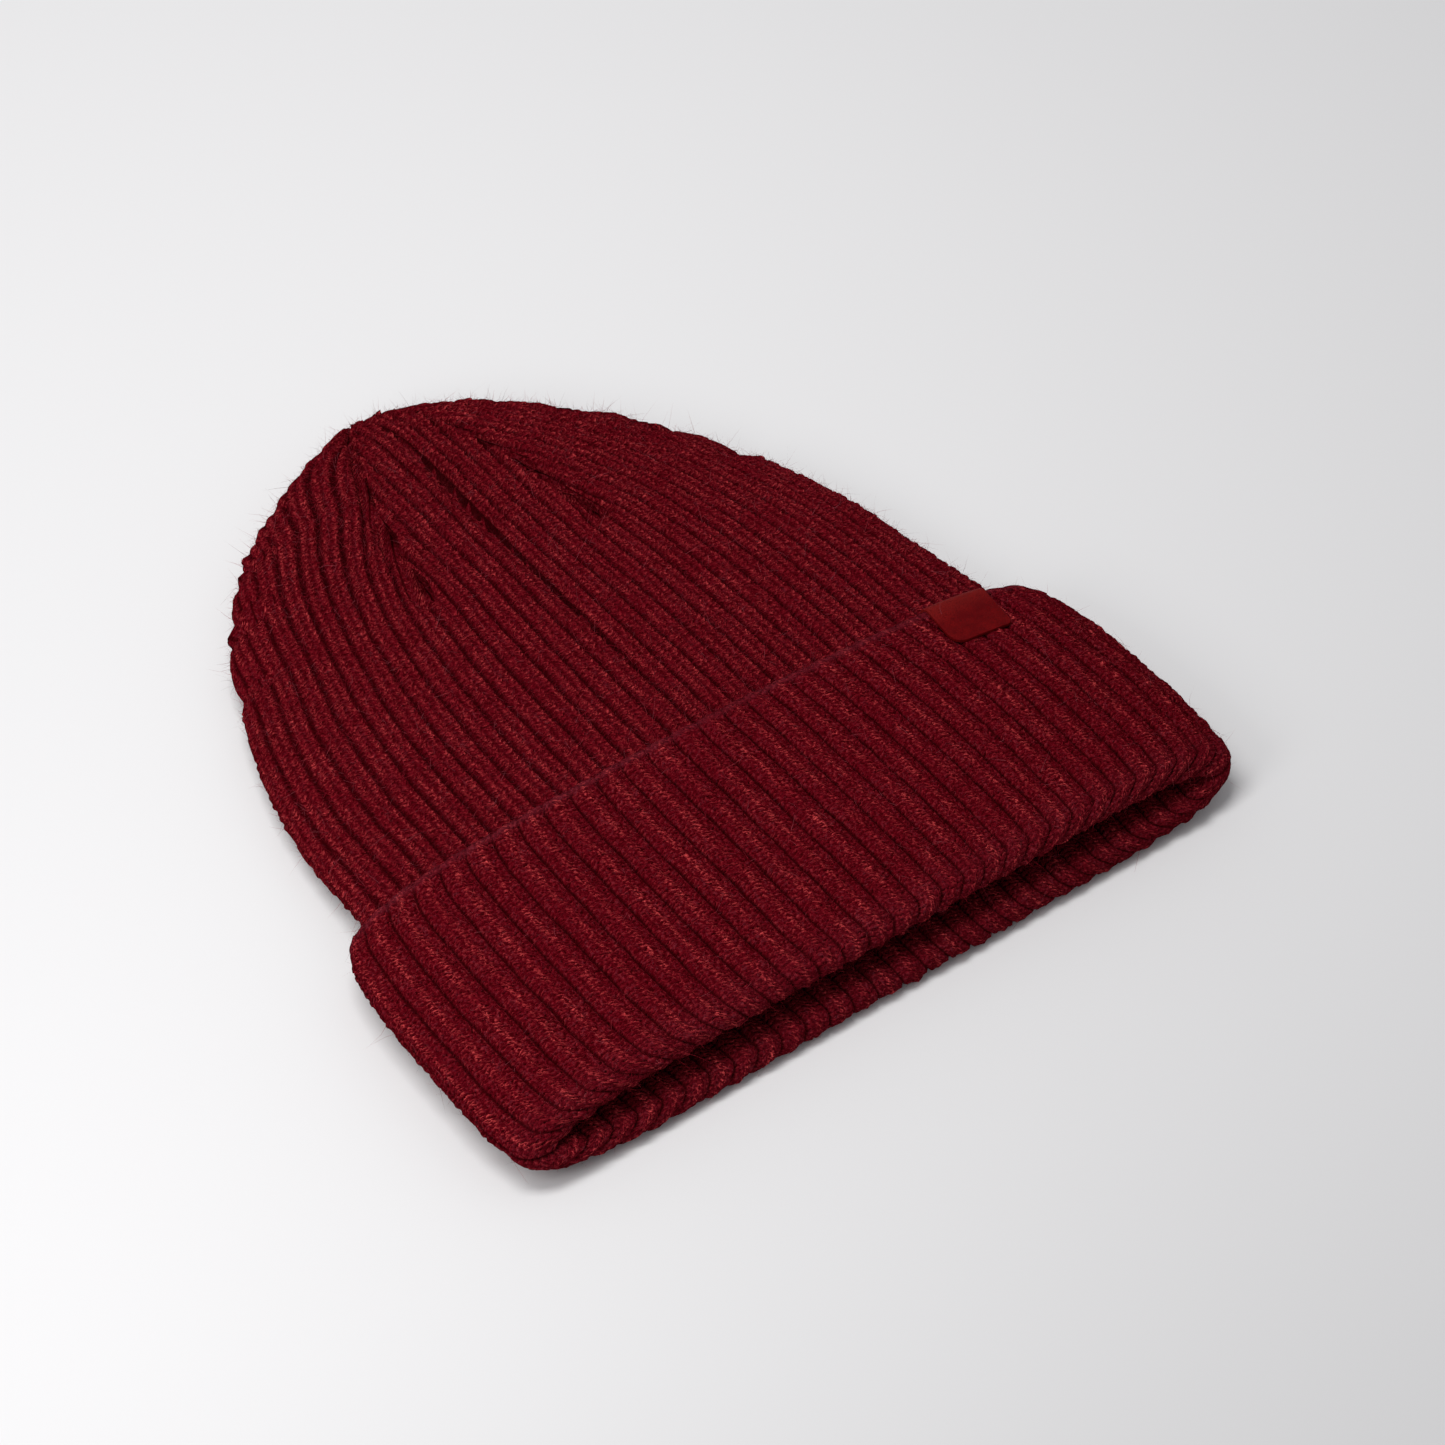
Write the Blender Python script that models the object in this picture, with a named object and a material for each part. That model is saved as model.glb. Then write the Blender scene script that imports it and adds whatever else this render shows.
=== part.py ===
"""A fisherman beanie lying flat, as it comes off a shelf: one rib-knitted tube, gathered by six
darts at the apex, with its lower end turned up as a deep cuff, and a leather tab on the cuff.

Metres, +Z up. X runs across the hat and +Y from the cuff's fold to the apex. The hat rests on
Z = 0, and the origin is under the middle of its outline.

The knit is one solid. Its wall starts at the apex, runs down the crown and on inside the cuff to
the fold, turns outwards there, and comes back up as the cuff to the knit's edge. Every ring
of the mesh is a flattened loop round the hat, and the loops are joined in that order.
"""
import math
from typing import NamedTuple

import bmesh
import bpy
import numpy as np

# Driving sizes of the hat, lying flat
HAT_LENGTH = 0.2375       # from the cuff's fold to the apex
CUFF_WIDTH = 0.219        # across the cuff at its widest
CUFF_HEIGHT = 0.0855      # from the fold up to the knit's edge, at the middle
CUFF_THICKNESS = 0.0218   # four layers of knit and the hollow between them
CROWN_WIDTH = 0.192       # where the crown comes out of the cuff
CROWN_THICKNESS = 0.0170  # two layers of knit and the hollow between them
KNIT = 0.0036             # one layer of knit, from rib crest to inner side
LAYER_GAP = 0.0003        # between the cuff and the crown inside it, at the fold

# The cuff's fold and edge
FOLD_SET_BACK = 0.0045    # the upper side's fold lies this far behind the lower side's
EDGE_ARCH = 0.0050        # the knit's edge is this much lower at the sides than in the middle
EDGE_STEP = 0.030         # the crown's underside comes down to the table over this length

# Ribs and the darts that close the crown
GORES = 6
RIBS_PER_GORE = 10
RIBS = GORES * RIBS_PER_GORE
RIB_DEPTH = 0.0013
DART_LENGTH = 0.076       # from a dart's lower end to the apex
DART_DEPTH = 0.0018       # of the valley along each dart
DART_REACH = 0.1          # in ribs: what lies nearer than this to a dart is part of it
LEAN = 2.4                # in ribs: how far the left side's ribs have slanted outwards at the apex
LEAN_START = 0.150        # from the fold, where they begin to slant

# The leather tab, folded over the knit's edge
TAB_WIDTH = 0.0163
TAB_LENGTH = 0.0147       # on the outside, from the knit's edge down
TAB_INNER_LENGTH = 0.0075  # on the inside, behind the edge
TAB_THICKNESS = 0.0010
TAB_FROM_SIDE = 0.0307    # the tab's middle, in from the cuff's right side
TAB_CORNER = 0.0030       # radius of the outer end's corners
TAB_GAP = 0.0003          # between the leather and the ribs' crests
TAB_INNER_GAP = 0.0007    # between the leather and the knit's inner side

# Colours, in linear light, and roughness
KNIT_COLOUR = (0.19, 0.010, 0.018)
KNIT_ROUGHNESS = 0.95
LEATHER_COLOUR = (0.24, 0.018, 0.014)
LEATHER_ROUGHNESS = 0.55


class Section(NamedTuple):
    """One flattened loop. Lengths are shares of the named size given beside each column."""
    along: float    # of the length that the table covers
    left: float     # of half the width, from X = 0 to the loop's left side
    right: float    # of half the width, from X = 0 to its right side
    top: float      # of the thickness
    middle: float   # of half the width: where the middle rib of the upper side runs
    square: float   # how square the sides are: 2 is an ellipse, 12 nearly a box


# The cuff's outside, from the fold (0) to the knit's edge (1), in CUFF_HEIGHT, CUFF_WIDTH and
# CUFF_THICKNESS
CUFF = [
    Section(0.00, 0.965, 0.945, 0.960, 0.073, 5.5),
    Section(0.06, 0.983, 0.970, 0.985, 0.073, 6.0),
    Section(0.25, 1.000, 0.988, 1.010, 0.073, 7.0),
    Section(0.50, 1.000, 0.998, 1.030, 0.073, 8.0),
    Section(0.75, 0.994, 1.000, 1.020, 0.073, 8.0),
    Section(0.90, 0.978, 0.983, 1.005, 0.073, 8.0),
    Section(1.00, 0.942, 0.943, 1.000, 0.073, 8.0),
]

# The crown's outside, from the fold (0) to the apex (1), in HAT_LENGTH, CROWN_WIDTH and
# CROWN_THICKNESS
CROWN = [
    Section(0.000, 1.030, 1.025, 1.010, 0.050, 5.5),
    Section(0.080, 1.050, 1.045, 1.010, 0.045, 6.0),
    Section(0.200, 1.050, 1.040, 0.985, 0.038, 8.0),
    Section(0.300, 1.025, 1.015, 0.960, 0.036, 8.0),
    Section(0.360, 1.005, 0.993, 0.955, 0.036, 8.0),
    Section(0.460, 0.990, 0.966, 0.982, 0.036, 8.0),
    Section(0.560, 0.952, 0.930, 0.988, 0.036, 8.0),
    Section(0.670, 0.866, 0.850, 0.985, 0.036, 7.0),
    Section(0.767, 0.765, 0.736, 0.980, 0.038, 6.0),
    Section(0.826, 0.667, 0.643, 0.975, 0.042, 6.0),
    Section(0.881, 0.550, 0.525, 0.960, 0.046, 5.0),
    Section(0.930, 0.395, 0.405, 0.920, 0.046, 4.0),
    Section(0.965, 0.255, 0.285, 0.860, 0.036, 3.0),
    Section(0.985, 0.145, 0.185, 0.780, 0.024, 2.5),
    Section(0.995, 0.070, 0.110, 0.680, 0.022, 2.2),
    Section(1.000, 0.000, 0.030, 0.600, 0.015, 2.0),
]


class Dent(NamedTuple):
    """A long soft valley pressed into the crown's upper side."""
    rib: float      # the rib line it follows, counted from the middle one
    start: float    # along the crown, a share of HAT_LENGTH
    end: float
    width: float    # in ribs, from its middle to its side
    depth: float    # of RIB_DEPTH


# The gores on either side of the left side's dart, counted from the upper middle one
UNDER_LEFT_GORE = 4
UPPER_LEFT_GORE = 5

DENTS = [
    Dent(0.0, 0.40, 0.93, 0.8, 0.75),    # the hat was stored folded along its middle
    Dent(-5.0, 0.66, 0.76, 0.5, 0.70),   # where the left dart begins
    Dent(5.0, 0.66, 0.75, 0.5, 0.70),    # where the right dart begins
]

# Where the mesh has its loops
CROWN_STATIONS = [
    0.994, 0.980, 0.962, 0.940, 0.912, 0.880, 0.845, 0.805, 0.765, 0.722, 0.680, 0.610, 0.520,
    0.430, 0.372,
]
SLIT_STATIONS = [0.84, 0.45, 0.12]       # of CUFF_HEIGHT
CUFF_STATIONS = [0.985, 0.90, 0.66, 0.42, 0.22]
NOSE_STEPS = 5
HOLLOW_STATIONS = [0.06, 0.14, 0.24, 0.34, 0.44, 0.56, 0.67, 0.76, 0.83, 0.89, 0.935]
HOLLOW_END = 0.962
TAB_COLUMNS = 9                          # points across the tab
TAB_OUTSIDE_STEPS = 6                    # points along its outer leg, and flats round its bend
TAB_INNER_STEPS = 3
QUARTER_SAMPLES = 160
FLAT_PRESS = 1.03                        # cuts a loop's bulge off: its broad sides are truly flat
DEEPEST = 0.4                            # of a loop's thickness: no groove or dent goes deeper
MERGE = 1e-5                             # points closer than this are one
SLIVER = 1e-6                            # a face thinner than this is taken out

# Places across one rib where a ribbed loop has its points: the groove, then the crest's sides
RIB_PLACES = [(0.0, 1.0), (0.27, 0.0), (0.73, 0.0)]


def smooth_step(share):
    """0 below 0, 1 above 1, and an even rise between them."""
    share = np.clip(share, 0.0, 1.0)
    return share * share * (3.0 - 2.0 * share)


def rising_slopes(x, y):
    """Slopes for a curve through the points that never swings past them."""
    step = np.diff(x)
    slope = np.diff(y) / step
    inner = np.zeros(len(x) - 2)
    same_way = slope[1:] * slope[:-1] > 0
    inner[same_way] = 2 * (slope[1:] * slope[:-1])[same_way] / (slope[1:] + slope[:-1])[same_way]
    return np.concatenate([slope[:1], inner, slope[-1:]])


def read_table(table, column, along):
    """A table's column at a share of its length, on a smooth curve through its rows."""
    x = np.array([row.along for row in table])
    y = np.array([getattr(row, column) for row in table])
    slopes = rising_slopes(x, y)
    along = min(max(along, x[0]), x[-1])
    i = min(int(np.searchsorted(x, along, side="right")) - 1, len(x) - 2)
    width = x[i + 1] - x[i]
    t = (along - x[i]) / width
    return ((1 + 2 * t) * (1 - t) ** 2 * y[i] + t * (1 - t) ** 2 * width * slopes[i]
            + t * t * (3 - 2 * t) * y[i + 1] + t * t * (t - 1) * width * slopes[i + 1])


class Loop(NamedTuple):
    """A flattened loop's real sizes."""
    left: float
    right: float
    low: float
    high: float
    middle: float
    square: float

    def inset(self, depth):
        return self._replace(left=self.left - depth, right=self.right - depth,
                             low=self.low + depth, high=self.high - depth)

    def towards(self, other, share):
        return Loop(*(a + (b - a) * share for a, b in zip(self, other)))


def cuff_loop(y, depth=0.0):
    """The cuff's outer side at a distance from the fold, moved inwards by depth."""
    along = y / CUFF_HEIGHT
    half = CUFF_WIDTH / 2
    outside = Loop(read_table(CUFF, "left", along) * half, read_table(CUFF, "right", along) * half,
                   0.0, read_table(CUFF, "top", along) * CUFF_THICKNESS,
                   read_table(CUFF, "middle", along) * half, read_table(CUFF, "square", along))
    return outside.inset(depth)


def crown_loop(y, depth=0.0):
    """The crown's outer side, which stays clear of the cuff where it runs inside it."""
    along = y / HAT_LENGTH
    half = CROWN_WIDTH / 2
    lift = 1 - smooth_step((y - CUFF_HEIGHT) / EDGE_STEP)
    outside = Loop(read_table(CROWN, "left", along) * half, read_table(CROWN, "right", along) * half,
                   (KNIT + LAYER_GAP) * lift, read_table(CROWN, "top", along) * CROWN_THICKNESS,
                   read_table(CROWN, "middle", along) * half, read_table(CROWN, "square", along))
    if y <= CUFF_HEIGHT:
        room = cuff_loop(y, KNIT + LAYER_GAP)
        outside = outside._replace(left=min(outside.left, room.left),
                                   right=min(outside.right, room.right),
                                   high=min(outside.high, room.high))
    return outside.inset(depth)


def quarter(width, height, square):
    """A quarter of a loop, from the middle of a flat side to the outermost point, with the
    distance along it. Rows of width and height."""
    angle = np.linspace(0.0, math.pi / 2, QUARTER_SAMPLES)
    across = np.sin(angle)
    up = np.sqrt(np.clip(1.0 - across ** square, 0.0, 1.0))
    up = np.minimum(up * FLAT_PRESS, 1.0)
    points = np.stack([across * width, up * height], axis=1)
    run = np.concatenate([[0.0], np.cumsum(np.linalg.norm(np.diff(points, axis=0), axis=1))])
    return points, run


def on_loop(loop, shares):
    """X and Z at shares of the way round a loop, from the middle of its upper side over +X.
    Each quarter of the way round has a quarter of the ribs."""
    shares = np.mod(shares, 1.0)
    centre = (loop.low + loop.high) / 2
    height = (loop.high - loop.low) / 2
    x = np.zeros(len(shares))
    z = np.zeros(len(shares))
    for turn, (side, upper) in enumerate([(1, 1), (1, -1), (-1, -1), (-1, 1)]):
        here = (shares >= turn / 4) & (shares < (turn + 1) / 4)
        width = loop.right - loop.middle if side > 0 else loop.left + loop.middle
        points, run = quarter(max(width, MERGE), max(height, MERGE), loop.square)
        part = (shares[here] - turn / 4) * 4
        if turn in (1, 3):
            part = 1 - part
        distance = part * run[-1]
        x[here] = loop.middle + side * np.interp(distance, run, points[:, 0])
        z[here] = centre + upper * np.interp(distance, run, points[:, 1])
    return x, z


def girth(loop):
    """The length round a loop."""
    height = max((loop.high - loop.low) / 2, MERGE)
    return 2 * sum(quarter(max(width, MERGE), height, loop.square)[1][-1]
                   for width in (loop.right - loop.middle, loop.left + loop.middle))


def make_ring(loop, shares, y, sink=0.0):
    """Points round a loop, each moved inwards by its own sink. Near the fold the upper side
    lies further back than the lower side."""
    x, z = on_loop(loop, shares)
    inner_x, inner_z = on_loop(loop.inset(MERGE), shares)
    inward = np.stack([inner_x - x, inner_z - z], axis=1)
    inward /= np.linalg.norm(inward, axis=1)[:, None]
    up = smooth_step((z - loop.low) / (loop.high - loop.low))
    back = FOLD_SET_BACK * up * max(0.0, 1 - np.mean(y) / CUFF_HEIGHT) ** 2
    return np.stack([x + inward[:, 0] * sink, y + back, z + inward[:, 1] * sink], axis=1)


def rib_columns():
    """Every point of a ribbed loop before the darts: its rib line and its groove share."""
    lines = [rib + place for rib in range(RIBS) for place, _ in RIB_PLACES]
    grooves = [groove for _ in range(RIBS) for _, groove in RIB_PLACES]
    return np.array(lines), np.array(grooves)


def gathered(lines, y):
    """Where rib lines run on the crown, as shares round the loop, and which have run out.
    Above the darts' lower ends a gore narrows while its ribs keep their spacing, so that they
    end at the darts one after another."""
    dart_start = HAT_LENGTH - DART_LENGTH
    spacing = max(1.0, girth(crown_loop(dart_start)) / girth(crown_loop(y)))
    gore = np.floor((lines + RIBS_PER_GORE / 2) / RIBS_PER_GORE)
    slant = LEAN * max(0.0, (y - LEAN_START) / (HAT_LENGTH - LEAN_START)) ** 2
    to_left_side = (gore == UNDER_LEFT_GORE) * 1.0 - (gore == UPPER_LEFT_GORE)
    from_middle = (lines - gore * RIBS_PER_GORE) * spacing + slant * to_left_side
    half = RIBS_PER_GORE / 2
    ended = (np.abs(from_middle) > half - DART_REACH) & (spacing > 1.0)
    from_middle = np.where(ended, np.sign(from_middle) * half, from_middle)
    return (gore * RIBS_PER_GORE + from_middle) / RIBS, ended


def dent_depth(lines, along):
    """How deep the crown's dents are at rib lines, at a share of the hat's length."""
    centred = np.mod(lines + RIBS / 2, RIBS) - RIBS / 2
    depth = np.zeros(len(lines))
    for dent in DENTS:
        across = np.exp(-((centred - dent.rib) / dent.width) ** 2)
        length = math.sin(math.pi * (along - dent.start) / (dent.end - dent.start))
        if dent.start < along < dent.end:
            depth += dent.depth * RIB_DEPTH * across * length
    return depth


def ribbed_crown_ring(along):
    """A loop of the crown's outside, with its ribs, darts and dents."""
    y = along * HAT_LENGTH
    lines, groove = rib_columns()
    shares, ended = gathered(lines, y)
    sink = np.where(ended, DART_DEPTH, groove * RIB_DEPTH) + dent_depth(shares * RIBS, along)
    loop = crown_loop(y)
    sink = np.minimum(sink, DEEPEST * min(loop.right + loop.left, loop.high - loop.low))
    return make_ring(loop, shares, y, sink)


def edge_drop(loop, shares, along):
    """How much the knit's edge has dropped towards the hat's sides."""
    x, _ = on_loop(loop, shares)
    return EDGE_ARCH * along * (x / (CUFF_WIDTH / 2)) ** 2


def ribbed_cuff_ring(along):
    """A loop of the cuff's outside, with its ribs."""
    lines, groove = rib_columns()
    shares = lines / RIBS
    y = along * CUFF_HEIGHT
    loop = cuff_loop(y)
    return make_ring(loop, shares, y - edge_drop(loop, shares, along), groove * RIB_DEPTH)


def nose_ring(turn):
    """A loop on the fold's round nose, from the cuff's outside (0) to the hollow (1)."""
    lines, groove = rib_columns()
    radius = KNIT + LAYER_GAP / 2
    angle = math.pi * turn
    y = radius * (1 - math.sin(angle))
    loop = cuff_loop(y).towards(crown_loop(y, KNIT), (1 - math.cos(angle)) / 2)
    sink = groove * RIB_DEPTH
    ring = make_ring(loop, lines / RIBS, y, sink * math.cos(angle))
    ring[:, 1] += sink * math.sin(angle)
    return ring


def smooth_ring(loop, y, drop_along=0.0):
    """A loop without ribs, with one point for each rib line."""
    shares = np.arange(RIBS) / RIBS
    return make_ring(loop, shares, y - edge_drop(loop, shares, drop_along))


def knit_rings():
    """All loops of the knit's wall in order, and the two points that close its ends."""
    radius = KNIT + LAYER_GAP / 2
    rings = [ribbed_crown_ring(along) for along in CROWN_STATIONS]
    for along in SLIT_STATIONS + [radius / CUFF_HEIGHT]:
        y = along * CUFF_HEIGHT
        rings.append(smooth_ring(crown_loop(y), y))
    for along in [radius / CUFF_HEIGHT] + SLIT_STATIONS[::-1] + [1.0]:
        y = along * CUFF_HEIGHT
        rings.append(smooth_ring(cuff_loop(y, KNIT), y, along))
    rings += [ribbed_cuff_ring(along) for along in [1.0] + CUFF_STATIONS]
    rings += [nose_ring(step / NOSE_STEPS) for step in range(NOSE_STEPS + 1)]
    for along in HOLLOW_STATIONS:
        y = along * HAT_LENGTH
        rings.append(smooth_ring(crown_loop(y, KNIT), y))
    outer_tip = tip_point(HAT_LENGTH, HAT_LENGTH)
    inner_tip = tip_point(HOLLOW_END * HAT_LENGTH, HOLLOW_END * HAT_LENGTH)
    return outer_tip, rings, inner_tip


def tip_point(y, loop_at):
    """The point where the wall closes, half way up the hat's thickness."""
    loop = crown_loop(loop_at)
    return np.array([(loop.right - loop.left) / 2, y, (loop.high + loop.low) / 2])


def bridge(faces, first, second):
    """Faces between two neighbouring loops, which may have a different number of points."""
    count = min(len(first), len(second))
    steps_first, steps_second = len(first) // count, len(second) // count
    for i in range(count):
        a = [first[(i * steps_first + j) % len(first)] for j in range(steps_first + 1)]
        b = [second[(i * steps_second + j) % len(second)] for j in range(steps_second + 1)]
        if len(a) == len(b):
            faces += [(a[j], a[j + 1], b[j + 1], b[j]) for j in range(len(a) - 1)]
        elif len(a) > len(b):
            faces += [(a[0], a[1], b[0]), (a[1], a[2], b[1], b[0]), (a[2], a[3], b[1])]
        else:
            faces += [(a[0], b[1], b[0]), (a[0], a[1], b[2], b[1]), (a[1], b[3], b[2])]


def new_object(name, points, faces, colour, roughness, parent):
    """A closed mesh object with its own material."""
    mesh = bpy.data.meshes.new(name)
    mesh.from_pydata([tuple(float(v) for v in point) for point in points], [], faces)
    shape = bmesh.new()
    shape.from_mesh(mesh)
    bmesh.ops.remove_doubles(shape, verts=shape.verts, dist=MERGE)
    bmesh.ops.dissolve_degenerate(shape, edges=shape.edges, dist=SLIVER)
    bmesh.ops.triangulate(shape, faces=shape.faces)
    bmesh.ops.recalc_face_normals(shape, faces=shape.faces)
    shape.to_mesh(mesh)
    shape.free()
    mesh.materials.append(plain_material(name, colour, roughness))
    piece = bpy.data.objects.new(name, mesh)
    bpy.context.scene.collection.objects.link(piece)
    piece.parent = parent
    return piece


def plain_material(name, colour, roughness):
    material = bpy.data.materials.new(name)
    material.use_nodes = True
    shader = material.node_tree.nodes["Principled BSDF"]
    shader.inputs["Base Color"].default_value = (*colour, 1.0)
    shader.inputs["Roughness"].default_value = roughness
    shader.inputs["Metallic"].default_value = 0.0
    return material


def build_knit(parent):
    """The crown and the turned-up cuff, in one piece."""
    outer_tip, rings, inner_tip = knit_rings()
    points = [outer_tip]
    numbers = []
    for ring in rings:
        numbers.append(list(range(len(points), len(points) + len(ring))))
        points.extend(ring)
    points.append(inner_tip)
    faces = [(0, a, b) for a, b in zip(numbers[0], numbers[0][1:] + numbers[0][:1])]
    for first, second in zip(numbers, numbers[1:]):
        bridge(faces, second, first)
    last = numbers[-1]
    faces += [(len(points) - 1, b, a) for a, b in zip(last, last[1:] + last[:1])]
    return new_object("knit_body", points, faces, KNIT_COLOUR, KNIT_ROUGHNESS, parent)


def upper_side(loop, x):
    """Height of a loop's upper side at a place across it."""
    width = loop.right - loop.middle
    bulge = math.sqrt(1 - min(abs(x - loop.middle) / width, 1.0) ** loop.square)
    half = (loop.high - loop.low) / 2
    return (loop.low + loop.high) / 2 + min(bulge * FLAT_PRESS, 1.0) * half


def tab_path(x, cut):
    """The middle line of the tab at a place across it, as Y and Z with the outward normal,
    from its outer end, shortened by cut, over the knit's edge to its tucked end."""
    edge = CUFF_HEIGHT - EDGE_ARCH * (x / (CUFF_WIDTH / 2)) ** 2
    away = TAB_GAP + TAB_THICKNESS / 2
    inner_away = TAB_INNER_GAP + TAB_THICKNESS / 2
    top = upper_side(cuff_loop(edge), x) + away
    bottom = upper_side(cuff_loop(edge, KNIT), x) - inner_away
    radius = (top - bottom) / 2
    path = []
    for y in np.linspace(edge - TAB_LENGTH + cut, edge, TAB_OUTSIDE_STEPS):
        path.append((y, upper_side(cuff_loop(y), x) + away, 0.0, 1.0))
    for angle in np.linspace(0.0, math.pi, TAB_OUTSIDE_STEPS + 1)[1:-1]:
        path.append((edge + radius * math.sin(angle),
                     (top + bottom) / 2 + radius * math.cos(angle),
                     math.sin(angle), math.cos(angle)))
    for y in np.linspace(edge, edge - TAB_INNER_LENGTH, TAB_INNER_STEPS):
        path.append((y, upper_side(cuff_loop(y, KNIT), x) - inner_away, 0.0, -1.0))
    return path


def build_tab(parent):
    """The leather tab: one strip, folded over the knit's edge."""
    points, faces, columns = [], [], []
    half = TAB_WIDTH / 2
    middle = CUFF_WIDTH / 2 - TAB_FROM_SIDE
    for place in np.linspace(-half, half, TAB_COLUMNS):
        past_corner = max(0.0, abs(place) - (half - TAB_CORNER))
        cut = TAB_CORNER - math.sqrt(TAB_CORNER ** 2 - past_corner ** 2)
        x = middle + place
        path = tab_path(x, cut)
        column = []
        for side in (TAB_THICKNESS / 2, -TAB_THICKNESS / 2):
            for y, z, normal_y, normal_z in path:
                column.append(len(points))
                points.append((x, y + normal_y * side, z + normal_z * side))
        columns.append(column)
    steps = len(columns[0]) // 2
    for left, right in zip(columns, columns[1:]):
        for j in range(steps - 1):
            faces.append((left[j], right[j], right[j + 1], left[j + 1]))
            faces.append((left[steps + j], left[steps + j + 1], right[steps + j + 1],
                          right[steps + j]))
        faces.append((left[0], left[steps], right[steps], right[0]))
        faces.append((left[steps - 1], right[steps - 1], right[-1], left[-1]))
    for column in (columns[0], columns[-1]):
        for j in range(steps - 1):
            faces.append((column[j], column[j + 1], column[steps + j + 1], column[steps + j]))
    return new_object("leather_tab", points, faces, LEATHER_COLOUR, LEATHER_ROUGHNESS, parent)


def place_on_origin(parent, pieces):
    """Moves the hat so that the middle of its outline is over the origin, on Z = 0."""
    corners = np.array([vertex.co for piece in pieces for vertex in piece.data.vertices])
    low, high = corners.min(axis=0), corners.max(axis=0)
    parent.location = (-(low[0] + high[0]) / 2, -(low[1] + high[1]) / 2, -low[2])


def main():
    for thing in list(bpy.data.objects):
        bpy.data.objects.remove(thing, do_unlink=True)
    beanie = bpy.data.objects.new("beanie", None)
    bpy.context.scene.collection.objects.link(beanie)
    pieces = [build_knit(beanie), build_tab(beanie)]
    place_on_origin(beanie, pieces)
    bpy.context.view_layer.update()


main()
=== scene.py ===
# %% [markdown]
# # A fisherman beanie in brushed rib knit
#
# This lesson dresses a plain CAD model of a beanie that lies flat. The hat is one knitted tube with
# sixty ribs. It is gathered by six darts at the apex, its lower end is turned up as a cuff, and a
# small leather tab is folded over the knit's edge. The CAD model gives the places and sizes. Here
# each side of the hat becomes a fine mesh with its ribs and stitches, and gets its loose fibres.
#
# Everything is in metres, with Z up. X runs across the hat and Y from the cuff's fold to the apex.

import math
from typing import NamedTuple

import bmesh
import bpy
import numpy as np
from mathutils import Matrix, Vector


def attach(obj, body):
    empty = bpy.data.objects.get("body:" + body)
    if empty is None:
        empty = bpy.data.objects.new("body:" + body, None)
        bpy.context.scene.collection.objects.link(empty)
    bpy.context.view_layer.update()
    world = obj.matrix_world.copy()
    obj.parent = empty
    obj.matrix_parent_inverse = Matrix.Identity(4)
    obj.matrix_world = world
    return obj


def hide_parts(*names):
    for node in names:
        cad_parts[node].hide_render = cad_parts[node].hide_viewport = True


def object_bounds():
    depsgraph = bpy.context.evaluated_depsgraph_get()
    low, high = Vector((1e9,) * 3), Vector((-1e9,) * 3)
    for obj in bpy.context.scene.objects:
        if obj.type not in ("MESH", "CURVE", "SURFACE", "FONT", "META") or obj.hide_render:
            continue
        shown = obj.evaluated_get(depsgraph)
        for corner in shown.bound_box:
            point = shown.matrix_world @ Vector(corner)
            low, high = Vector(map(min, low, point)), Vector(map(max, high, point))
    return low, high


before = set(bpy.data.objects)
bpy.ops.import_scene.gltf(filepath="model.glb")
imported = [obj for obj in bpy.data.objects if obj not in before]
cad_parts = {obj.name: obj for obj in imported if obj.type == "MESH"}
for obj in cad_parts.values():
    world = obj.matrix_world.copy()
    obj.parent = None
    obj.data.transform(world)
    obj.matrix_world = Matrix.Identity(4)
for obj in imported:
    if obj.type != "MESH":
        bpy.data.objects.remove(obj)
cad_low, cad_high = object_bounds()
FOLD_Y = cad_low.y               # the cuff's fold; every Y below is counted from it
BODY = "root"
scene = bpy.context.scene
print("nodes", sorted(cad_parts), "length", round(cad_high.y - cad_low.y, 4))

# %% [markdown]
# ## The camera
#
# The photograph was taken with a long lens from the front left, about 45 degrees above the table. A
# camera is three directions and a place, so the matrix is put together from them: its back, its
# right side and its top. That is easier to read than three angles, and it takes a slight roll.

# %% Place the camera
LENS = 99.65                     # mm, on a sensor 36 mm wide
AZIMUTH = math.radians(-37.2)    # from the front, towards the hat's left side
ELEVATION = math.radians(45.1)
ROLL = math.radians(0.7)
DISTANCE = 1.004
LOOK_AT = Vector((0.0185, -0.0211, 0.0))


def camera_matrix(azimuth, elevation, roll, target, distance):
    back = Vector((math.sin(azimuth) * math.cos(elevation), -math.cos(azimuth) * math.cos(elevation),
                   math.sin(elevation)))
    level = back.cross(Vector((0, 0, -1))).normalized()
    above = back.cross(level)
    right = level * math.cos(roll) + above * math.sin(roll)
    top = above * math.cos(roll) - level * math.sin(roll)
    matrix = Matrix((right, top, back)).transposed().to_4x4()
    matrix.translation = target + back * distance
    return matrix


camera = bpy.data.objects.new("camera", bpy.data.cameras.new("camera"))
camera.data.lens = LENS
scene.collection.objects.link(camera)
camera.matrix_world = camera_matrix(AZIMUTH, ELEVATION, ROLL, LOOK_AT, DISTANCE)
scene.camera = camera
print("camera at", [round(v, 3) for v in camera.matrix_world.translation])

# %% [markdown]
# ## Shader maths as plain arithmetic
#
# A knit's finish is mostly arithmetic on the place of a stitch. Node by node that is slow to write
# and hard to read, so one small class wraps a socket: an expression such as 1 - groove * 0.5 then
# adds the Math nodes by itself. Every other node comes from one method of the finish.

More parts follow.
